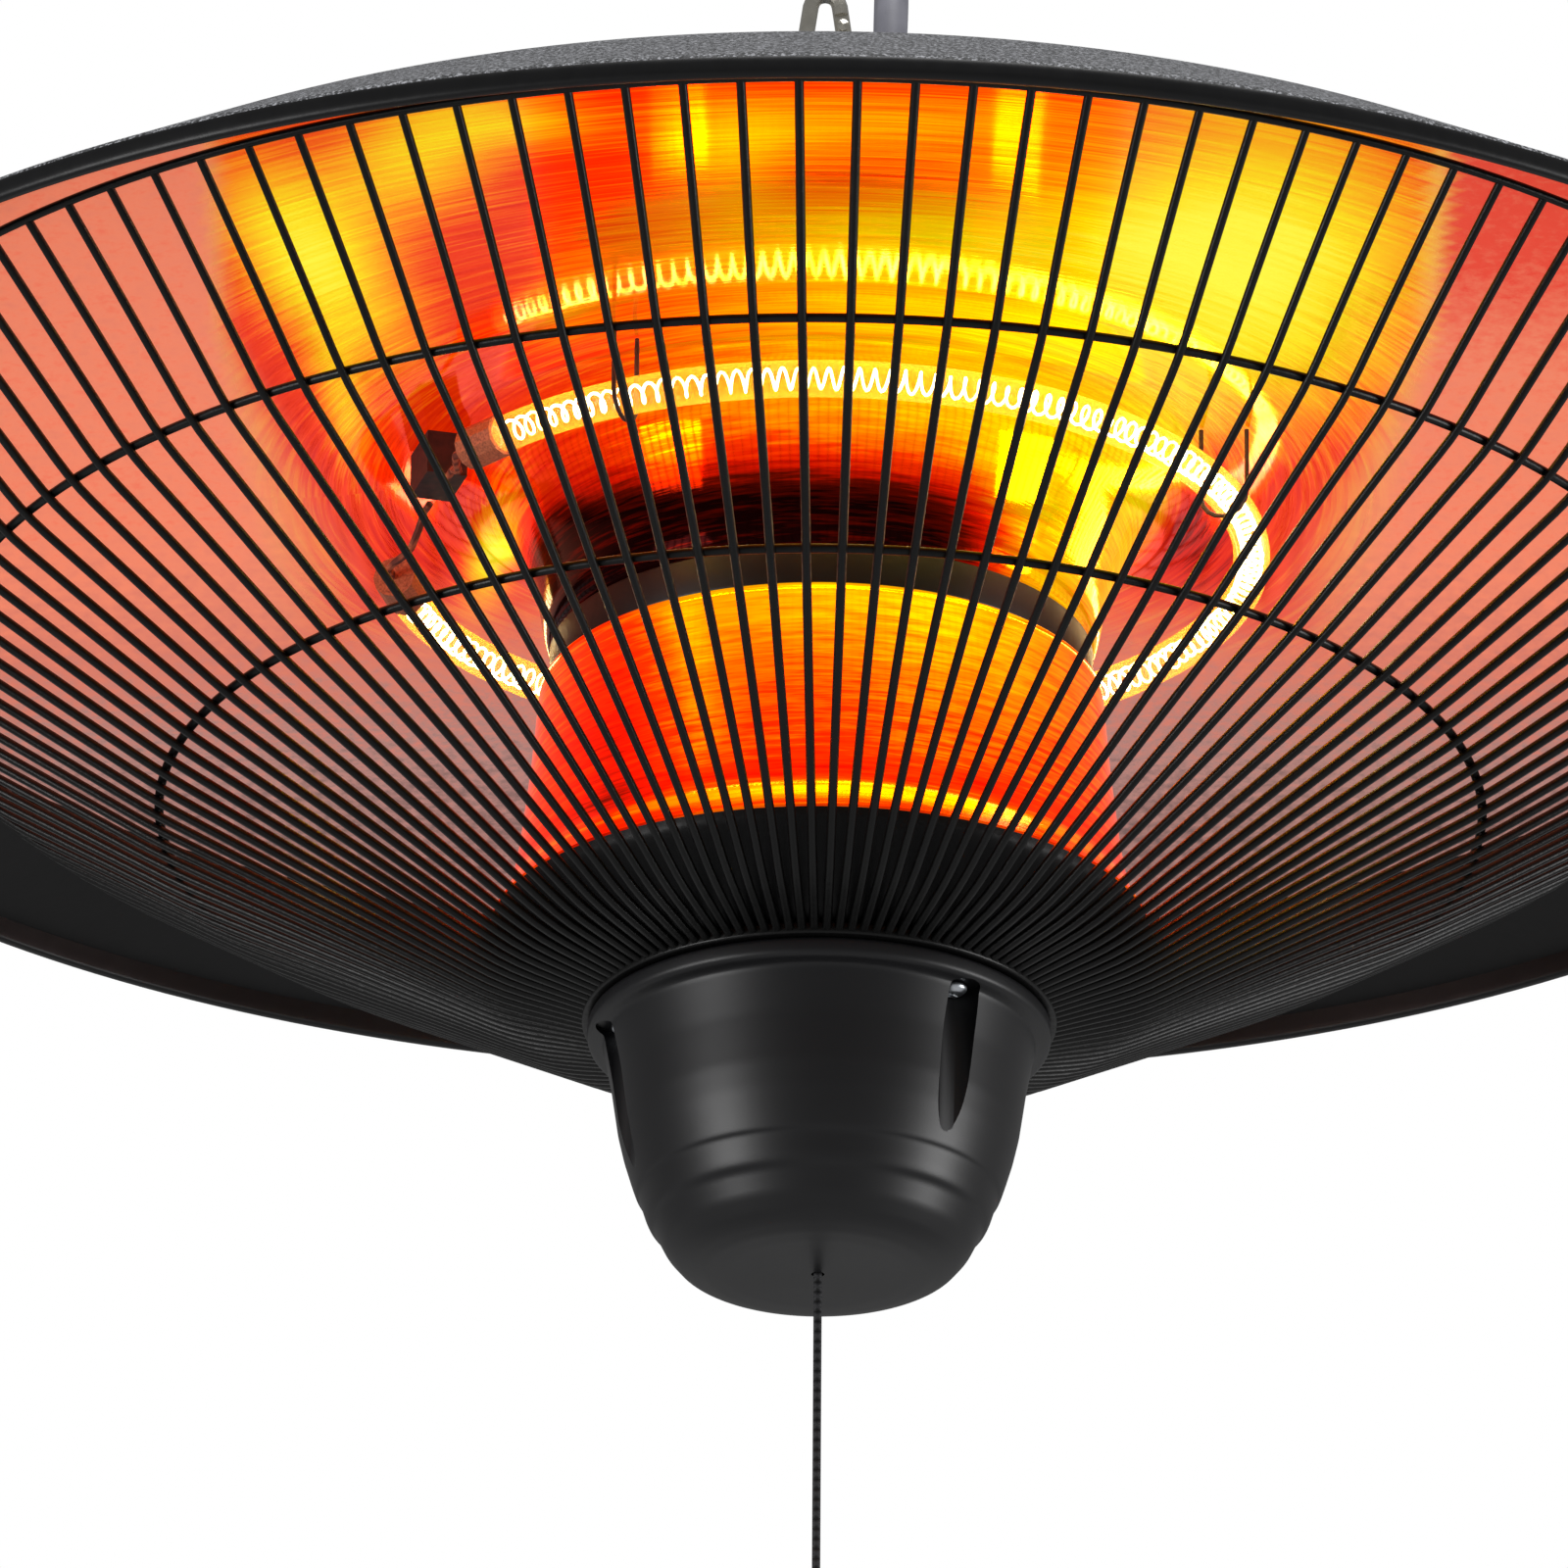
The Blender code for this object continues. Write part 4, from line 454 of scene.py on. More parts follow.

# ---------------------------------------------------------------- Reflector
# Aluminium sheet 0.8 mm thick, spun over a former and polished, held under the canopy at its rim and neck.
# It mirrors the lamp in long spun lines. The lamp's glow is painted on it as a reflection in amber and red
# patches, fading to a painted salmon reflection far out.
# A patch is (x, y, reach along, reach across, turn in degrees, glow), in mm seen from above.
SHEET_T = 0.8
BASE_PAINTED_GLOW = 0.36
HAZE_SIDE = 140.0
HAZE_FROM_Y = -100.0
PAINTED_GLOW_PATCHES = [
    (25, -150, 75, 36, 0, 0.42), (30, -88, 80, 34, 0, 0.34), (104, -150, 42, 100, -4, 0.52),
    (-26, -38, 22, 20, 0, 0.42), (46, -42, 36, 24, 0, 0.36), (72, 5, 14, 50, 14, 0.42),
    (5, -222, 52, 22, 0, 0.24), (-22, -200, 14, 30, 0, 0.20), (-96, -205, 20, 40, 14, 0.42),
    (-122, -140, 18, 62, -12, 0.56), (-116, -52, 6, 44, -4, 0.30), (-70, -222, 18, 14, 0, 0.26),
    (-62, -110, 10, 26, 10, 0.14), (-80, 30, 5, 44, 6, 0.62), (90, 22, 10, 34, 0, -0.18),
    (-45, -10, 16, 34, 0, -0.20)]


def patches_glow(x, y, patches):
    """Sum of soft round patches at a place on a surface."""
    glow_amount = 0.0
    for px, py, along, across, turn, amount in patches:
        c, s = cos(radians(turn)), sin(radians(turn))
        dx, dy = x - px, y - py
        u = (dx * c + dy * s) / along
        v = (dy * c - dx * s) / across
        glow_amount += amount * exp(-(u * u + v * v))
    return glow_amount


def soft_step(value, low, high):
    """From 0 at low to 1 at high, smoothly."""
    t = min(max((value - low) / (high - low), 0), 1)
    return t * t * (3 - 2 * t)


def lay_painted_glow(made, painted_glow_at, haze_at):
    """Store how bright the painted glow looks, and how far it has faded to the painted salmon reflection, on
    each point of a piece.
    """
    glow = made.data.attributes.new("glow", "FLOAT", "POINT")
    haze = made.data.attributes.new("haze", "FLOAT", "POINT")
    places = [(v.co.x / MM, v.co.y / MM, v.co.z / MM - DATUM) for v in made.data.vertices]
    glow.data.foreach_set("value", [min(max(painted_glow_at(*place), 0), 1) for place in places])
    haze.data.foreach_set("value", [min(max(haze_at(*place), 0), 1) for place in places])


# Polished spun aluminium: mirror-like along turned lines 1 mm apart, which also break up the painted glow.
# Its colour is the lamp's reflection painted on, and it is emitted as light too: the glow ramp runs from
# unlit black-red to yellow, and the painted salmon reflection from grey-mauve to coral.
glow_painted_aluminium, tree, shader, coords = new_finish("polished_aluminium_painted_glow", {
    "Metallic": 1.0, "Roughness": 0.14, "Emission Strength": 0.78})
apart = add_node(tree, "ShaderNodeSeparateXYZ", {"Vector": coords}).outputs
flat = add_node(tree, "ShaderNodeCombineXYZ", {"X": apart["X"], "Y": apart["Y"]})
radius = add_node(tree, "ShaderNodeVectorMath", {0: flat.outputs["Vector"]}, operation="LENGTH")
slow = calc(tree, "MULTIPLY", calc(tree, "ARCTAN2", apart["Y"], apart["X"]), 0.004)
spun = add_node(tree, "ShaderNodeCombineXYZ", {"X": radius.outputs["Value"], "Y": slow, "Z": apart["Z"]})
lines = noise(tree, spun.outputs["Vector"], 900, 3, 0.65)
mottle = noise(tree, coords, 260, 5, 0.7)
glow = add_node(tree, "ShaderNodeAttribute", attribute_name="glow").outputs["Fac"]
haze = add_node(tree, "ShaderNodeAttribute", attribute_name="haze").outputs["Fac"]
glow_amount = calc(tree, "ADD", glow, remap(tree, lines, -0.09, 0.09, 0.3, 0.7))
glow_colour = colour_ramp(tree, glow_amount, [
    (0.0, "#120202"), (0.14, "#5A0800"), (0.30, "#D01400"), (0.44, "#F03400"),
    (0.58, "#FF8000"), (0.72, "#FFB800"), (0.86, "#FFE000"), (1.0, "#FFF43A")])
faded = calc(tree, "ADD", remap(tree, mottle, -0.1, 0.1, 0.3, 0.7), glow)
salmon = colour_ramp(tree, faded, [
    (0.1, "#5E4B4A"), (0.3, "#A87870"), (0.5, "#D07460"), (0.72, "#EE8262"), (1.0, "#E64834")])
glow_tone = add_node(tree, "ShaderNodeMix", {"Factor": haze, 6: glow_colour, 7: salmon}, data_type="RGBA").outputs[2]
feed(shader, "Base Color", glow_tone)
# The painted glow is emitted too, so the dish gives off light of its own.
feed(shader, "Emission Color", glow_tone)
feed(shader, "Roughness", remap(tree, haze, 0.07, 0.34))
feed(shader, "Normal", bumped(tree, lines, 0.12, 0.0002))


def sheet_metal(points, thickness):
    """Close an outline of sheet metal: the points, then the same line moved left by the thickness."""
    moved = []
    for i, here in enumerate(points):
        before = Vector(points[max(i - 1, 0)])
        after = Vector(points[min(i + 1, len(points) - 1)])
        along = (after - before).normalized()
        moved.append((here[0] - along.y * thickness, here[1] + along.x * thickness))
    return list(points) + moved[::-1]


def finer(points, step):
    """The same outline with points about one step apart."""
    out = [points[0]]
    for a, b in zip(points, points[1:]):
        dx, dy = b[0] - a[0], b[1] - a[1]
        count = max(1, round(hypot(dx, dy) / step))
        out += [(a[0] + dx * i / count, a[1] + dy * i / count) for i in range(1, count + 1)]
    return out


def reflector_haze(x, y, height):
    """Where the painted glow has faded to a painted salmon reflection: outside the lamp's own width, and
    behind the hub.
    """
    behind = max(0, y - HAZE_FROM_Y)
    limit = HAZE_SIDE - 0.25 * behind
    return max(soft_step(abs(x), limit, limit + 8 + 0.2 * behind), soft_step(y, 40, 110))


def reflector_painted_glow(x, y, height):
    """Painted glow on the dish: a painted reflection bright over the lamp, a dark painted reflection down the
    neck's wall, and the faded part's painted tone.
    """
    neck_dark_reflection = (1 - soft_step(hypot(x, y), 66, 82)) * (1 - soft_step(height, 50, 78))
    glow_amount = BASE_PAINTED_GLOW + patches_glow(x, y, PAINTED_GLOW_PATCHES) - 0.7 * neck_dark_reflection * (1 - soft_step(x, 26, 60))
    front_right = soft_step(x, 0, 150) * (1 - soft_step(y, -170, -60))
    glow_tone = 0.72 + 0.28 * front_right - 0.5 * soft_step(y, 0, 210)
    share = reflector_haze(x, y, height)
    return glow_amount * (1 - share) + glow_tone * share


dish_line = rounded([(61, 43.3), (66.8, 43.3), (70, 62), (78, 80), (92, 88.5), (122, 84.2), (158, 84.2),
                     (263, 79.8)], 7, 5)
reflector = turned("spun_reflector", sheet_metal(finer(dish_line, 3.5), SHEET_T), glow_painted_aluminium, 288)
lay_painted_glow(reflector, reflector_painted_glow, reflector_haze)
stand_for(reflector, "heater", "polished_aluminium", "reflector")

# ---------------------------------------------------------------- Hub: neck ring, skirt and base
# A black pressed ring, a polished spun skirt and a black pressed dish stack round the support tube.
# The tube's nut draws them up against the reflector's neck. The skirt carries the lamp's red glow as a
# painted reflection, with a painted highlight along its flare.
# A patch is (x, height, reach across, reach up, turn, glow), in mm seen from the front.
SKIRT_PAINTED_GLOW = 0.44
BASE_T = 1.2
SKIRT_GLOW_PATCHES = [
    (0, 36, 60, 24, 0, 0.26), (-28, 14, 14, 40, 0, 0.08), (-50, 0, 14, 60, 0, -0.16),
    (44, 18, 18, 26, 0, 0.12), (0, -19, 80, 3.2, 0, -0.12), (0, -25.4, 58, 2.4, 0, 0.40)]

neck = rounded([(58, 43), (66.3, 43), (65.5, 33.3), (58, 33.3), (58, 43)], 0.8, 3)[:-1]
neck_ring = turned("pressed_neck_ring", neck, enamel, 128)
stand_for(neck_ring, "heater", "black_paint", "neck_ring")
skirt_line = rounded([(60, 33), (68.4, 33), (70.5, 10), (73, -10), (75.2, -22), (80, -30.6)], 2.5, 5)
skirt = turned("spun_hub_skirt", sheet_metal(finer(skirt_line, 1.2), -SHEET_T), glow_painted_aluminium, 192)
# Painted glow on the skirt: less of it towards the back, where it fades to a painted salmon reflection.
lay_painted_glow(skirt, lambda x, y, h: SKIRT_PAINTED_GLOW + patches_glow(x, h, SKIRT_GLOW_PATCHES) - 0.3 * soft_step(y, -20, 40),
         lambda x, y, h: 0.8 * soft_step(y, -20, 20))
stand_for(skirt, "heater", "polished_aluminium", "hub_skirt")
base_line = rounded([(5.3, -51.1), (58, -51.1), (72, -41.5), (79.5, -34), (80, -31.3)], 4, 5)
hub_base = turned("pressed_hub_base", sheet_metal(base_line, BASE_T), enamel, 128)
stand_for(hub_base, "heater", "black_paint", "hub_base")

# ---------------------------------------------------------------- Wire guard
# 120 steel wires of 2.25 mm run every 3 degrees from an outer ring under the rim down to a collar at the cup.
# They are spot-welded to two hoops on their inner side, and the cage is dipped in black paint.
WIRE_R = 1.125
WIRE_COUNT = 120
WIRE_PHASE = 1.57
GUARD_RINGS = [(259.8, 75.4), (215.1, 34.5), (160.4, 0.0)]
GUARD_FOOT = (78.0, -47.0)
COLLAR_END = (56.8, -53.0)
WELD_GAP = 0.1


def piece_tree(name, sockets):
    """A Geometry Nodes tree for a piece: the tree and its inputs, the piece and the named sockets."""
    tree = bpy.data.node_groups.new(name, "GeometryNodeTree")
    for label, kind in [("Geometry", "Geometry"), *sockets, ("Finish", "Material")]:
        tree.interface.new_socket(label, in_out="INPUT", socket_type="NodeSocket" + kind)
    tree.interface.new_socket("Geometry", in_out="OUTPUT", socket_type="NodeSocketGeometry")
    return tree, add_node(tree, "NodeGroupInput").outputs


def hand_back(tree, geometry, finish):
    """End a Geometry Nodes tree with real geometry in its finish."""
    real = add_node(tree, "GeometryNodeRealizeInstances", {"Geometry": geometry})
    painted = add_node(tree, "GeometryNodeSetMaterial", {
        "Geometry": real.outputs["Geometry"], "Material": finish})
    add_node(tree, "NodeGroupOutput", {"Geometry": painted.outputs["Geometry"]})
    return tree


def copies_round_axis():
    """Geometry Nodes: copies of the piece turned step by step about the heater's axis."""
    tree, given = piece_tree("copies_round_axis", [
        ("Copies", "Int"), ("First angle", "Float"), ("Step angle", "Float")])
    row = add_node(tree, "GeometryNodeMeshLine", {"Count": given["Copies"], "Offset": (0, 0, 0)})
    index = add_node(tree, "GeometryNodeInputIndex").outputs["Index"]
    angle = calc(tree, "MULTIPLY_ADD", index, given["Step angle"], given["First angle"])
    turn = add_node(tree, "ShaderNodeCombineXYZ", {"Z": angle})
    copies = add_node(tree, "GeometryNodeInstanceOnPoints", {
        "Points": row.outputs["Mesh"], "Instance": given["Geometry"], "Rotation": turn.outputs["Vector"]})
    return hand_back(tree, copies.outputs["Instances"], given["Finish"])


def bake_nodes(made, tree, values):
    """Give an object a Geometry Nodes tree with its inputs, and keep the result as its plain mesh."""
    modifier = made.modifiers.new(tree.name, "NODES")
    modifier.node_group = tree
    for item in tree.interface.items_tree:
        if item.in_out == "INPUT" and item.name in values:
            modifier[item.identifier] = values[item.name]
    return bake(made)


def bake(made):
    """Turn an object and its modifiers into a plain mesh object of the same name."""
    graph = bpy.context.evaluated_depsgraph_get()
    graph.update()
    mesh = bpy.data.meshes.new_from_object(made.evaluated_get(graph))
    name = made.name
    bpy.data.objects.remove(made)
    mesh.name = name
    baked = bpy.data.objects.new(name, mesh)
    scene.collection.objects.link(baked)
    return baked


# Dipped paint on wire: glossy black, a little uneven in thickness along the wire.
guard_paint, tree, shader, coords = new_finish("dipped_black_paint", {
    "Base Color": colour("#090909"), "Roughness": 0.34, "Specular IOR Level": 0.2})
runs = noise(tree, coords, 500, 3)
feed(shader, "Normal", bumped(tree, runs, 0.25, 0.0004))
feed(shader, "Roughness", remap(tree, runs, 0.26, 0.46))

below = 2 * WIRE_R + WELD_GAP
wire_path = [Vector(GUARD_RINGS[0])]
corners = [Vector(corner) for corner in GUARD_RINGS + [GUARD_FOOT]]
for before, ring, after in zip(corners, corners[1:], corners[2:]):
    along = ((ring - before).normalized() + (after - ring).normalized()).normalized()
    wire_path.append(ring + below * Vector((-along.y, along.x)))
wire_path += [corners[-1], Vector(COLLAR_END)]
wire_points = [at(r, 0, h) for r, h in rounded([tuple(point) for point in wire_path], 7, 3)]
one_wire = bake(wire_curve("guard_wire_cage", wire_points, WIRE_R, guard_paint, sides=1))
cage_tree = copies_round_axis()
guard = bake_nodes(one_wire, cage_tree, {"Copies": WIRE_COUNT, "First angle": radians(WIRE_PHASE),
                                         "Step angle": tau / WIRE_COUNT, "Finish": guard_paint})
guard.data.shade_smooth()
stand_for(guard, "heater", "guard_paint", "guard_wires")


def hoop(name, reach, height):
    """A round wire ring of the guard."""
    angles = [tau * i / 12 for i in range(12)]
    section = [(reach + WIRE_R * cos(a), height + WIRE_R * sin(a)) for a in angles]
    return turned(name, section, guard_paint, 240, sharp=80)


outer_hoop = hoop("guard_outer_hoop", *GUARD_RINGS[0])
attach(outer_hoop, "heater")
stand_for(hoop("guard_middle_hoop", *GUARD_RINGS[1]), "heater", "guard_paint", "guard_ring_middle")
stand_for(hoop("guard_inner_hoop", *GUARD_RINGS[2]), "heater", "guard_paint", "guard_ring_inner")
collar_line = rounded([(52.5, -51.4), (57.4, -51.4), (57.4, -54.4), (52.5, -54.4), (52.5, -51.4)], 0.6, 3)
collar = turned("guard_collar", collar_line[:-1], guard_paint, 160)
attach(collar, "heater")
paint(enamel, "guard_clip_1", "guard_clip_2", "guard_clip_3", "guard_clip_4")

# ---------------------------------------------------------------- Lamp
# A quartz tube bent to most of a ring, with a coiled tungsten wire that glows white-hot inside it.
# Browned ceramic caps close its ends, wire loops hang it from the dish, and sleeved leads run to its holder.
LAMP_R = 104.8
LAMP_H = 69.3
QUARTZ_R = 4.5
LAMP_START = radians(-137)
LAMP_SWEEP = radians(303)
LAMP_STEPS = 180
FILAMENT_R = 3.0
FILAMENT_WIRE_R = 0.36
FILAMENT_TRIM = 0.02
CURLS = 150
CURL_POINTS = 12

# Quartz glass: clear and smooth, glowing amber from the light it carries, so little of it hides the wire.
quartz, tree, shader, coords = new_finish("clear_quartz_glass", {
    "Base Color": colour("#FFB84A"), "Roughness": 0.04, "Alpha": 0.3, "Emission Color": colour("#FF8A10"),
    "Emission Strength": 0.9})
edge = add_node(tree, "ShaderNodeLayerWeight", {"Blend": 0.35}).outputs["Facing"]
feed(shader, "Alpha", remap(tree, edge, 0.12, 0.75))

# Tungsten wire at white heat: it only gives light, whitest where the coil is thickest.
tungsten, tree, shader, coords = new_finish("white_hot_tungsten", {
    "Base Color": colour("#3A2A20"), "Roughness": 0.5, "Emission Strength": 14.0})
flicker = noise(tree, coords, 120, 2)
feed(shader, "Emission Color", colour_ramp(tree, flicker, [(0.35, "#FFE06A"), (0.6, "#FFF6C8")]))

# Steatite ceramic: baked orange-brown by the lamp, dull, with pits of 0.5 mm from pressing.
ceramic, tree, shader, coords = new_finish("pressed_steatite", {"Roughness": 0.55})
pits = noise(tree, coords, 1800, 3)
feed(shader, "Base Color", colour_ramp(tree, pits, [(0.3, "#7A3A22"), (0.6, "#B4623C")]))
feed(shader, "Normal", bumped(tree, pits, 0.3, 0.0003))

# Scorched ceramic of the holder: dark brown, dull and rough.
scorched, tree, shader, coords = new_finish("scorched_ceramic", {"Roughness": 0.7})
soot = noise(tree, coords, 500, 4)
feed(shader, "Base Color", colour_ramp(tree, soot, [(0.3, "#150A08"), (0.7, "#3A1812")]))

# Glass-fibre sleeve: braid browned by heat, threads 2 mm apart, dull.
sleeve, tree, shader, coords = new_finish("woven_glass_sleeve", {"Roughness": 0.8})
threads = add_node(tree, "ShaderNodeTexWave", {
    "Vector": coords, "Scale": 160, "Distortion": 3}, bands_direction="DIAGONAL").outputs["Fac"]
feed(shader, "Base Color", colour_ramp(tree, threads, [(0.1, "#5A2416"), (0.9, "#A05030")]))
feed(shader, "Normal", bumped(tree, threads, 0.4, 0.0003))


def lamp_arc(reach, steps, trim=0.0):
    """Points along the lamp's ring, short of its ends by an angle."""
    sweep = LAMP_SWEEP - 2 * trim
    angles = [LAMP_START + trim + sweep * i / steps for i in range(steps + 1)]
    return [at(reach * cos(a), reach * sin(a), LAMP_H) for a in angles]


def coiled_wire():
    """Geometry Nodes: wind a wire a little unevenly round the lamp's line, and give it thickness."""
    tree, given = piece_tree("coiled_wire", [
        ("Curls", "Int"), ("Points a curl", "Int"), ("Coil radius", "Float"), ("Wire radius", "Float")])
    count = calc(tree, "MULTIPLY", given["Curls"], given["Points a curl"])
    line = add_node(tree, "GeometryNodeResampleCurve", {"Curve": given["Geometry"], "Count": count})
    index = add_node(tree, "GeometryNodeInputIndex").outputs["Index"]
    turn = calc(tree, "MULTIPLY", calc(tree, "DIVIDE", index, given["Points a curl"]), tau)
    place = add_node(tree, "GeometryNodeInputPosition").outputs["Position"]
    apart = add_node(tree, "ShaderNodeSeparateXYZ", {"Vector": place}).outputs
    flat = add_node(tree, "ShaderNodeCombineXYZ", {"X": apart["X"], "Y": apart["Y"]})
    outward = add_node(tree, "ShaderNodeVectorMath", {0: flat.outputs["Vector"]}, operation="NORMALIZE")
    loose = remap(tree, noise(tree, place, 130.0, 1.0), 0.6, 1.1)
    reach = calc(tree, "MULTIPLY", loose, given["Coil radius"])
    sideways = add_node(tree, "ShaderNodeVectorMath", {
        0: outward.outputs["Vector"], "Scale": calc(tree, "COSINE", turn)}, operation="SCALE")
    upwards = add_node(tree, "ShaderNodeCombineXYZ", {"Z": calc(tree, "SINE", turn)})
    both = add_node(tree, "ShaderNodeVectorMath", {
        0: sideways.outputs["Vector"], 1: upwards.outputs["Vector"]}, operation="ADD")
    offset = add_node(tree, "ShaderNodeVectorMath", {
        0: both.outputs["Vector"], "Scale": reach}, operation="SCALE")
    wound = add_node(tree, "GeometryNodeSetPosition", {
        "Geometry": line.outputs["Curve"], "Offset": offset.outputs["Vector"]})
    section = add_node(tree, "GeometryNodeCurvePrimitiveCircle", {
        "Resolution": 5, "Radius": given["Wire radius"]})
    thick = add_node(tree, "GeometryNodeCurveToMesh", {
        "Curve": wound.outputs["Geometry"], "Profile Curve": section.outputs["Curve"], "Fill Caps": True})
    return hand_back(tree, thick.outputs["Mesh"], given["Finish"])


tube_skin = bake(wire_curve("bent_quartz_tube", lamp_arc(LAMP_R, LAMP_STEPS), QUARTZ_R, quartz, sides=6))
tube_skin.data.shade_smooth()
stand_for(tube_skin, "heater", "quartz_glass", "quartz_tube")
lamp_line = wire_curve("coiled_filament", lamp_arc(LAMP_R, LAMP_STEPS, FILAMENT_TRIM), 0, tungsten)
filament = bake_nodes(lamp_line, coiled_wire(), {
    "Curls": CURLS, "Points a curl": CURL_POINTS, "Coil radius": FILAMENT_R * MM,
    "Wire radius": FILAMENT_WIRE_R * MM, "Finish": tungsten})
filament.data.shade_smooth()
stand_for(filament, "heater", "glowing_filament", "filament")
paint(ceramic, "lamp_cap_1", "lamp_cap_2", "terminal_block")
paint(sleeve, "lamp_lead_1", "lamp_lead_2", "lamp_feed", "supply_lead", "switch_lead")
paint(scorched, "lamp_clip_1", "lamp_clip_2", "lamp_clip_3", "lamp_holder")

# ---------------------------------------------------------------- Switch cup and its screws
# Deep cup moulded in black heat-resistant plastic, with a lip, two soft steps low down and a bare bottom.
# Three zinc pan-head screws deep in its pockets hold it, and the guard's collar, to the hub.
CUP_TOP = -54.7
CUP_LOW = -119.3
CUP_T = 2.4
SCREW_R = 47.8
SCREW_HOLE_R = 1.8
SCREW_LOW = -61.2
SCREW_AZIMUTHS = (-48, -168, 72)
RECESS_L = 3.2
RECESS_W = 0.7
RECESS_DEEP = 1.6
POCKET_SHIFT = 2.2
POCKET_R = 5.0
POCKET_ROOF = -58.7
LUG_R = 6.4
CORD_HOLE_R = 1.6
CUT_LOW = -125
CUT_HIGH = -50

# Moulded black plastic: smooth satin, with a faint grain of 0.3 mm that softens its highlights.
cup_plastic, tree, shader, coords = new_finish("moulded_black_plastic", {
    "Base Color": colour("#0E0E10"), "Specular IOR Level": 0.34})
grain = noise(tree, coords, 3000, 1)
feed(shader, "Normal", bumped(tree, grain, 0.12, 0.0001))
handled = noise(tree, coords, 30, 4)
feed(shader, "Roughness", remap(tree, handled, 0.36, 0.46))

cup_wall = [(52.2, -60.4), (50.1, -71.2), (48.4, -82.8), (47.0, -88.9), (45.3, -94.6), (44.0, -98.5),
            (43.1, -99.5), (41.6, -104.3), (40.7, -106.2), (39.5, -107.2), (36.9, -112.5), (33.6, -116.4),
            (31.0, -117.9)]
cup_lip = [(0.1, CUP_TOP), (56, CUP_TOP), (56, -59.2), (52.9, -59.9)]
cup_foot = [(27.0, -119.0), (22.0, CUP_LOW), (0.1, CUP_LOW)]
cup_line = [(0, CUP_TOP)] + rounded(cup_lip + cup_wall + cup_foot, 1.3, 4) + [(0, CUP_LOW)]
cup = turned("moulded_cup", cup_line, cup_plastic, 192, False, sharp=50)
hollow_line = [(0, -52), (49.8, -52)] + [(r - CUP_T, h) for r, h in cup_wall]
hollow_line += [(27, CUP_LOW + CUP_T), (0, CUP_LOW + CUP_T)]
hollow = turned("cup_hollow", hollow_line, cup_plastic, 96, False)


def apply_cuts(made, cutters):
    """Cut other closed objects out of a piece and remove them."""
    for cutter in cutters:
        modifier = made.modifiers.new(cutter.name, "BOOLEAN")
        modifier.operation = "DIFFERENCE"
        modifier.object = cutter
    made = bake(made)
    for cutter in cutters:
        bpy.data.objects.remove(cutter)
    return made


def rod(name, radius, low, high, x=0.0, y=0.0):
    """A closed cylinder that cuts."""
    return turned(name, [(0, low), (radius, low), (radius, high), (0, high)], cup_plastic, 48, False,
                  Matrix.Translation(at(x, y, 0)))


spots = [(SCREW_R * cos(radians(a)), SCREW_R * sin(radians(a))) for a in SCREW_AZIMUTHS]
lugs = [rod("lug_%d" % i, LUG_R, CUT_LOW, CUT_HIGH, x, y) for i, (x, y) in enumerate(spots)]
hollow = apply_cuts(hollow, lugs)
outward = (SCREW_R + POCKET_SHIFT) / SCREW_R
cutters = [hollow]
cutters += [rod("pocket_%d" % i, POCKET_R, CUT_LOW, POCKET_ROOF, outward * x, outward * y)
            for i, (x, y) in enumerate(spots)]
cutters += [rod("screw_way_%d" % i, SCREW_HOLE_R, -60, CUT_HIGH, x, y) for i, (x, y) in enumerate(spots)]
cup = apply_cuts(cup, cutters + [rod("cord_way", CORD_HOLE_R, CUT_LOW, -110)])
cup.data.shade_smooth()
cup.data.set_sharp_from_angle(angle=radians(32))
stand_for(cup, "heater", "black_plastic", "switch_cup")

screw_line = rounded([(0, SCREW_LOW), (2.0, SCREW_LOW), (3.3, -60.1), (3.3, -59.0), (1.5, -59.0),
                      (1.5, -47.9), (0, -47.9)], 0.5, 3)
screw = turned("pan_head_screws", screw_line, zinc, 32, False, Matrix.Translation(at(SCREW_R, 0, 0)))
recess = []
for name, length, width in (("recess_long", RECESS_L, RECESS_W), ("recess_short", RECESS_W, RECESS_L)):
    bm = bmesh.new()
    bmesh.ops.create_cube(bm, size=1)
    bmesh.ops.scale(bm, vec=(length * MM, width * MM, RECESS_DEEP * MM), verts=bm.verts[:])
    bmesh.ops.translate(bm, vec=at(SCREW_R, 0, SCREW_LOW), verts=bm.verts[:])
    recess.append(finished(name, bm, zinc))
screw = apply_cuts(screw, recess)
screws = bake_nodes(screw, cage_tree, {
    "Copies": len(SCREW_AZIMUTHS), "First angle": radians(SCREW_AZIMUTHS[0]),
    "Step angle": -tau / len(SCREW_AZIMUTHS), "Finish": zinc})
stand_for(screws, "heater", "zinc_plate", "cup_screw_1", "cup_screw_2", "cup_screw_3")

# Moulded cream plastic: dull, clouded in patches of 5 mm.
cream_plastic, tree, shader, coords = new_finish("moulded_cream_plastic", {"Roughness": 0.5})
cloud = noise(tree, coords, 200, 3)
feed(shader, "Base Color", colour_ramp(tree, cloud, [(0.3, "#D8D2C0"), (0.7, "#E8E3D4")]))
paint(cream_plastic, "switch_housing", "switch_cover", "actuator", "ratchet_wheel")
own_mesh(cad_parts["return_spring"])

# ---------------------------------------------------------------- Studio
# Pale floor far below, seen only from above, two soft boxes in front, one above, and an even white room.
# The room is dimmed where it is mirrored: black pieces stay black, and the soft boxes draw their highlights.
# A soft box is (name, place, width in metres, watts).
FLOOR_Z = -6.0
FLOOR_REACH = 30
ROOM_LIGHT = 0.45
MIRRORED_ROOM = 0.25
LIT_POINT = Vector((0, 0, -0.25))
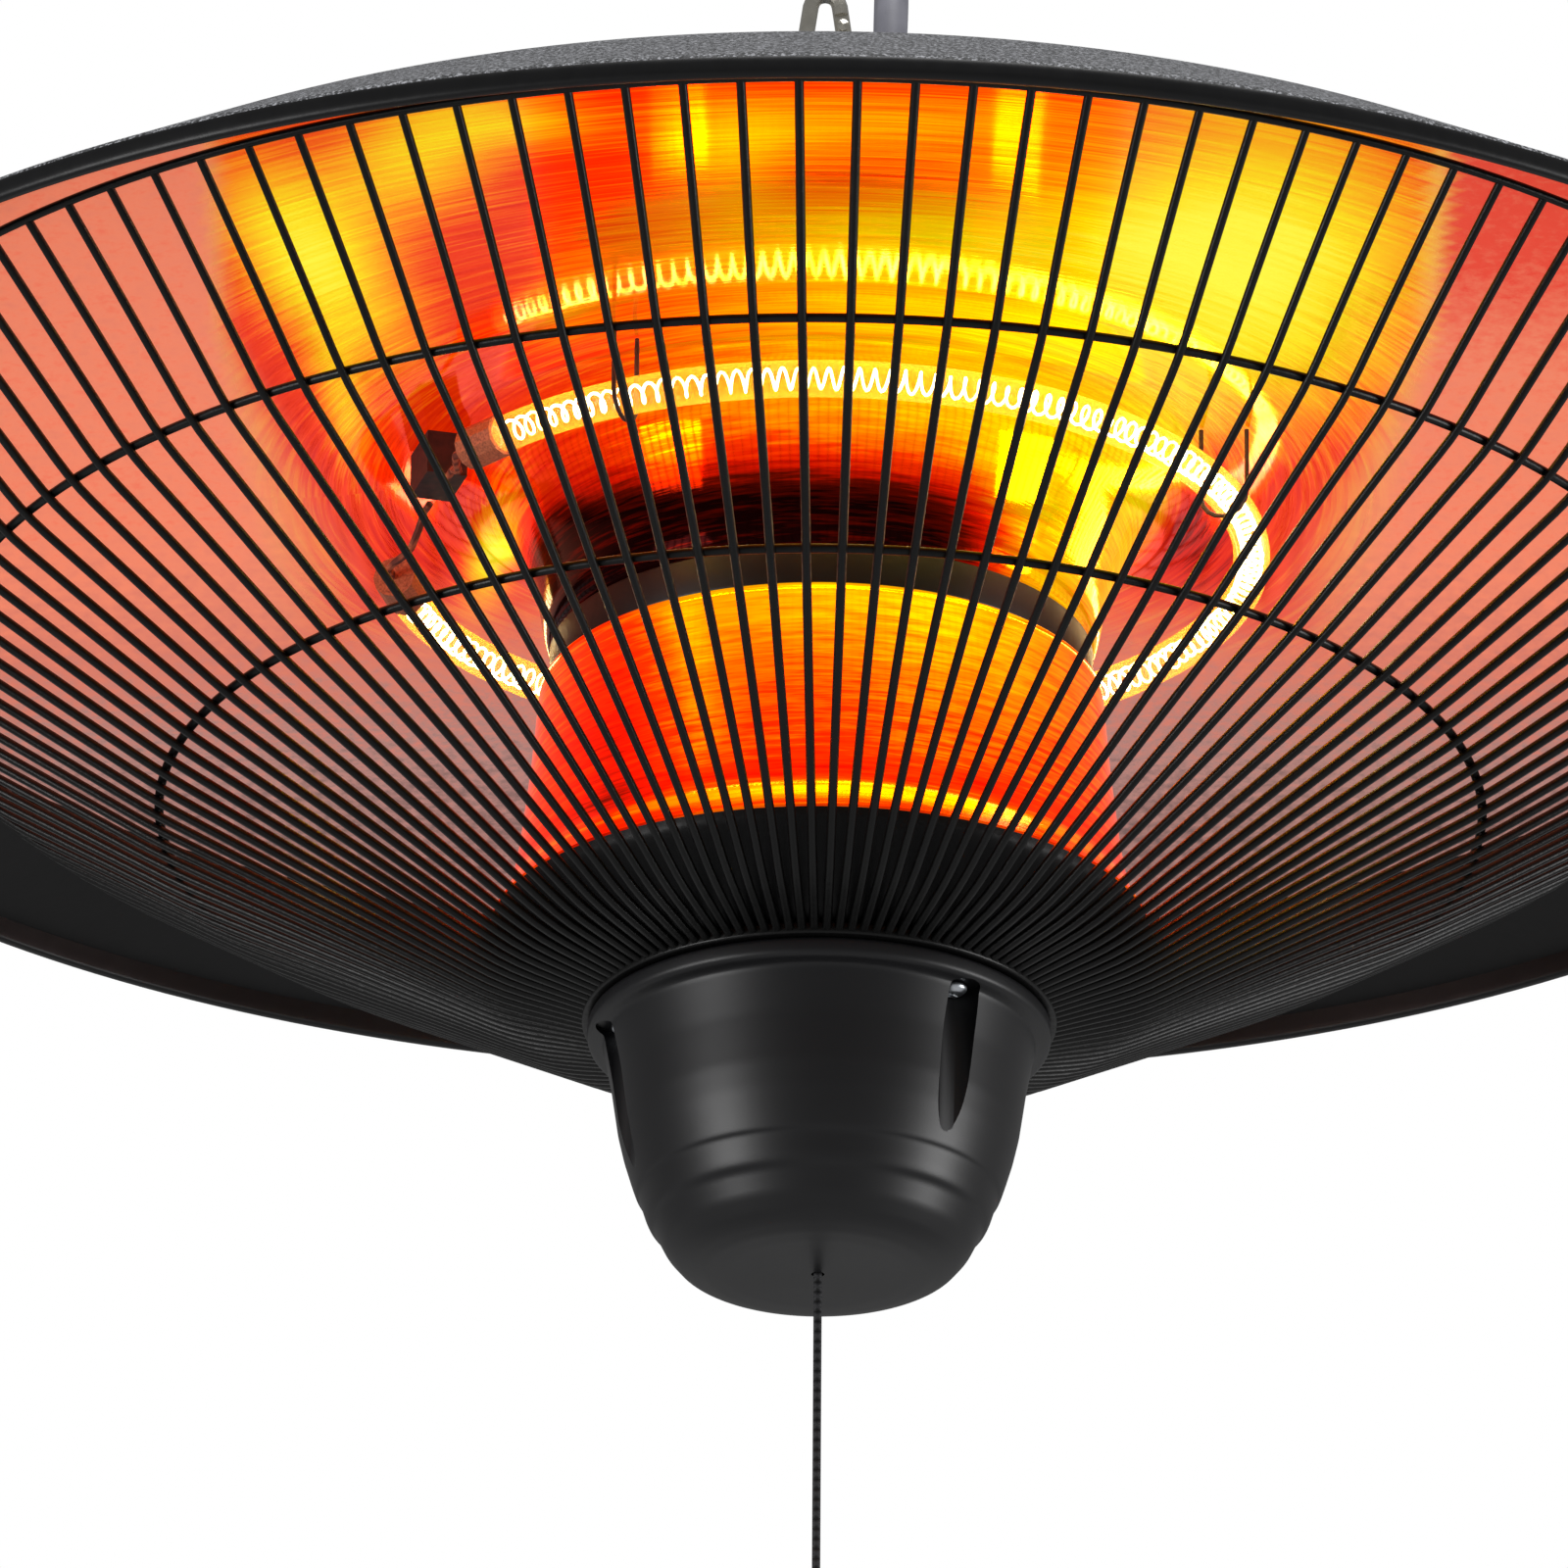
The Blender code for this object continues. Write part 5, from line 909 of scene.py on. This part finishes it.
SOFT_BOXES = [
    ("soft_box_left", (-2.6, -1.6, -0.9), 1.3, 60), ("soft_box_right", (2.9, -0.5, -0.8), 1.2, 60),
    ("soft_box_top", (0.3, -0.8, 2.4), 1.6, 60)]

# Matt floor paint, clear from below, so that the view from under the heater looks through it.
floor_paint = bpy.data.materials.new("pale_floor")
floor_paint.use_nodes = True
tree = floor_paint.node_tree
shader = tree.nodes["Principled BSDF"]
shader.inputs["Base Color"].default_value = colour("#F4F4F4")
shader.inputs["Roughness"].default_value = 0.8
below_floor = add_node(tree, "ShaderNodeNewGeometry")
clear = add_node(tree, "ShaderNodeBsdfTransparent")
either = add_node(tree, "ShaderNodeMixShader", {
    0: below_floor.outputs["Backfacing"], 1: shader.outputs["BSDF"], 2: clear.outputs["BSDF"]})
tree.links.new(either.outputs["Shader"], tree.nodes["Material Output"].inputs["Surface"])
bm = bmesh.new()
bmesh.ops.create_grid(bm, x_segments=1, y_segments=1, size=FLOOR_REACH)
bmesh.ops.translate(bm, vec=(0, 0, FLOOR_Z), verts=bm.verts[:])
finished("floor", bm, floor_paint)

for name, place, size, power in SOFT_BOXES:
    lamp = bpy.data.lights.new(name, "AREA")
    lamp.shape = "SQUARE"
    lamp.size = size
    lamp.energy = power
    soft_box = bpy.data.objects.new(name, lamp)
    scene.collection.objects.link(soft_box)
    aim = (LIT_POINT - Vector(place)).to_track_quat("-Z", "Y")
    soft_box.matrix_world = Matrix.Translation(place) @ aim.to_matrix().to_4x4()

room = bpy.data.worlds.new("white_room")
scene.world = room
room.use_nodes = True
tree = room.node_tree
backdrop = tree.nodes["Background"]
seen = add_node(tree, "ShaderNodeLightPath").outputs
mirrored = calc(tree, "MAXIMUM", seen["Is Camera Ray"], seen["Is Glossy Ray"])
through = calc(tree, "MAXIMUM", mirrored, seen["Is Transmission Ray"])
level = remap(tree, through, ROOM_LIGHT, 1.0)
backdrop.inputs["Color"].default_value = colour("#FFFFFF")
feed(backdrop, "Strength", calc(tree, "MULTIPLY_ADD", seen["Is Glossy Ray"], MIRRORED_ROOM - 1, level))
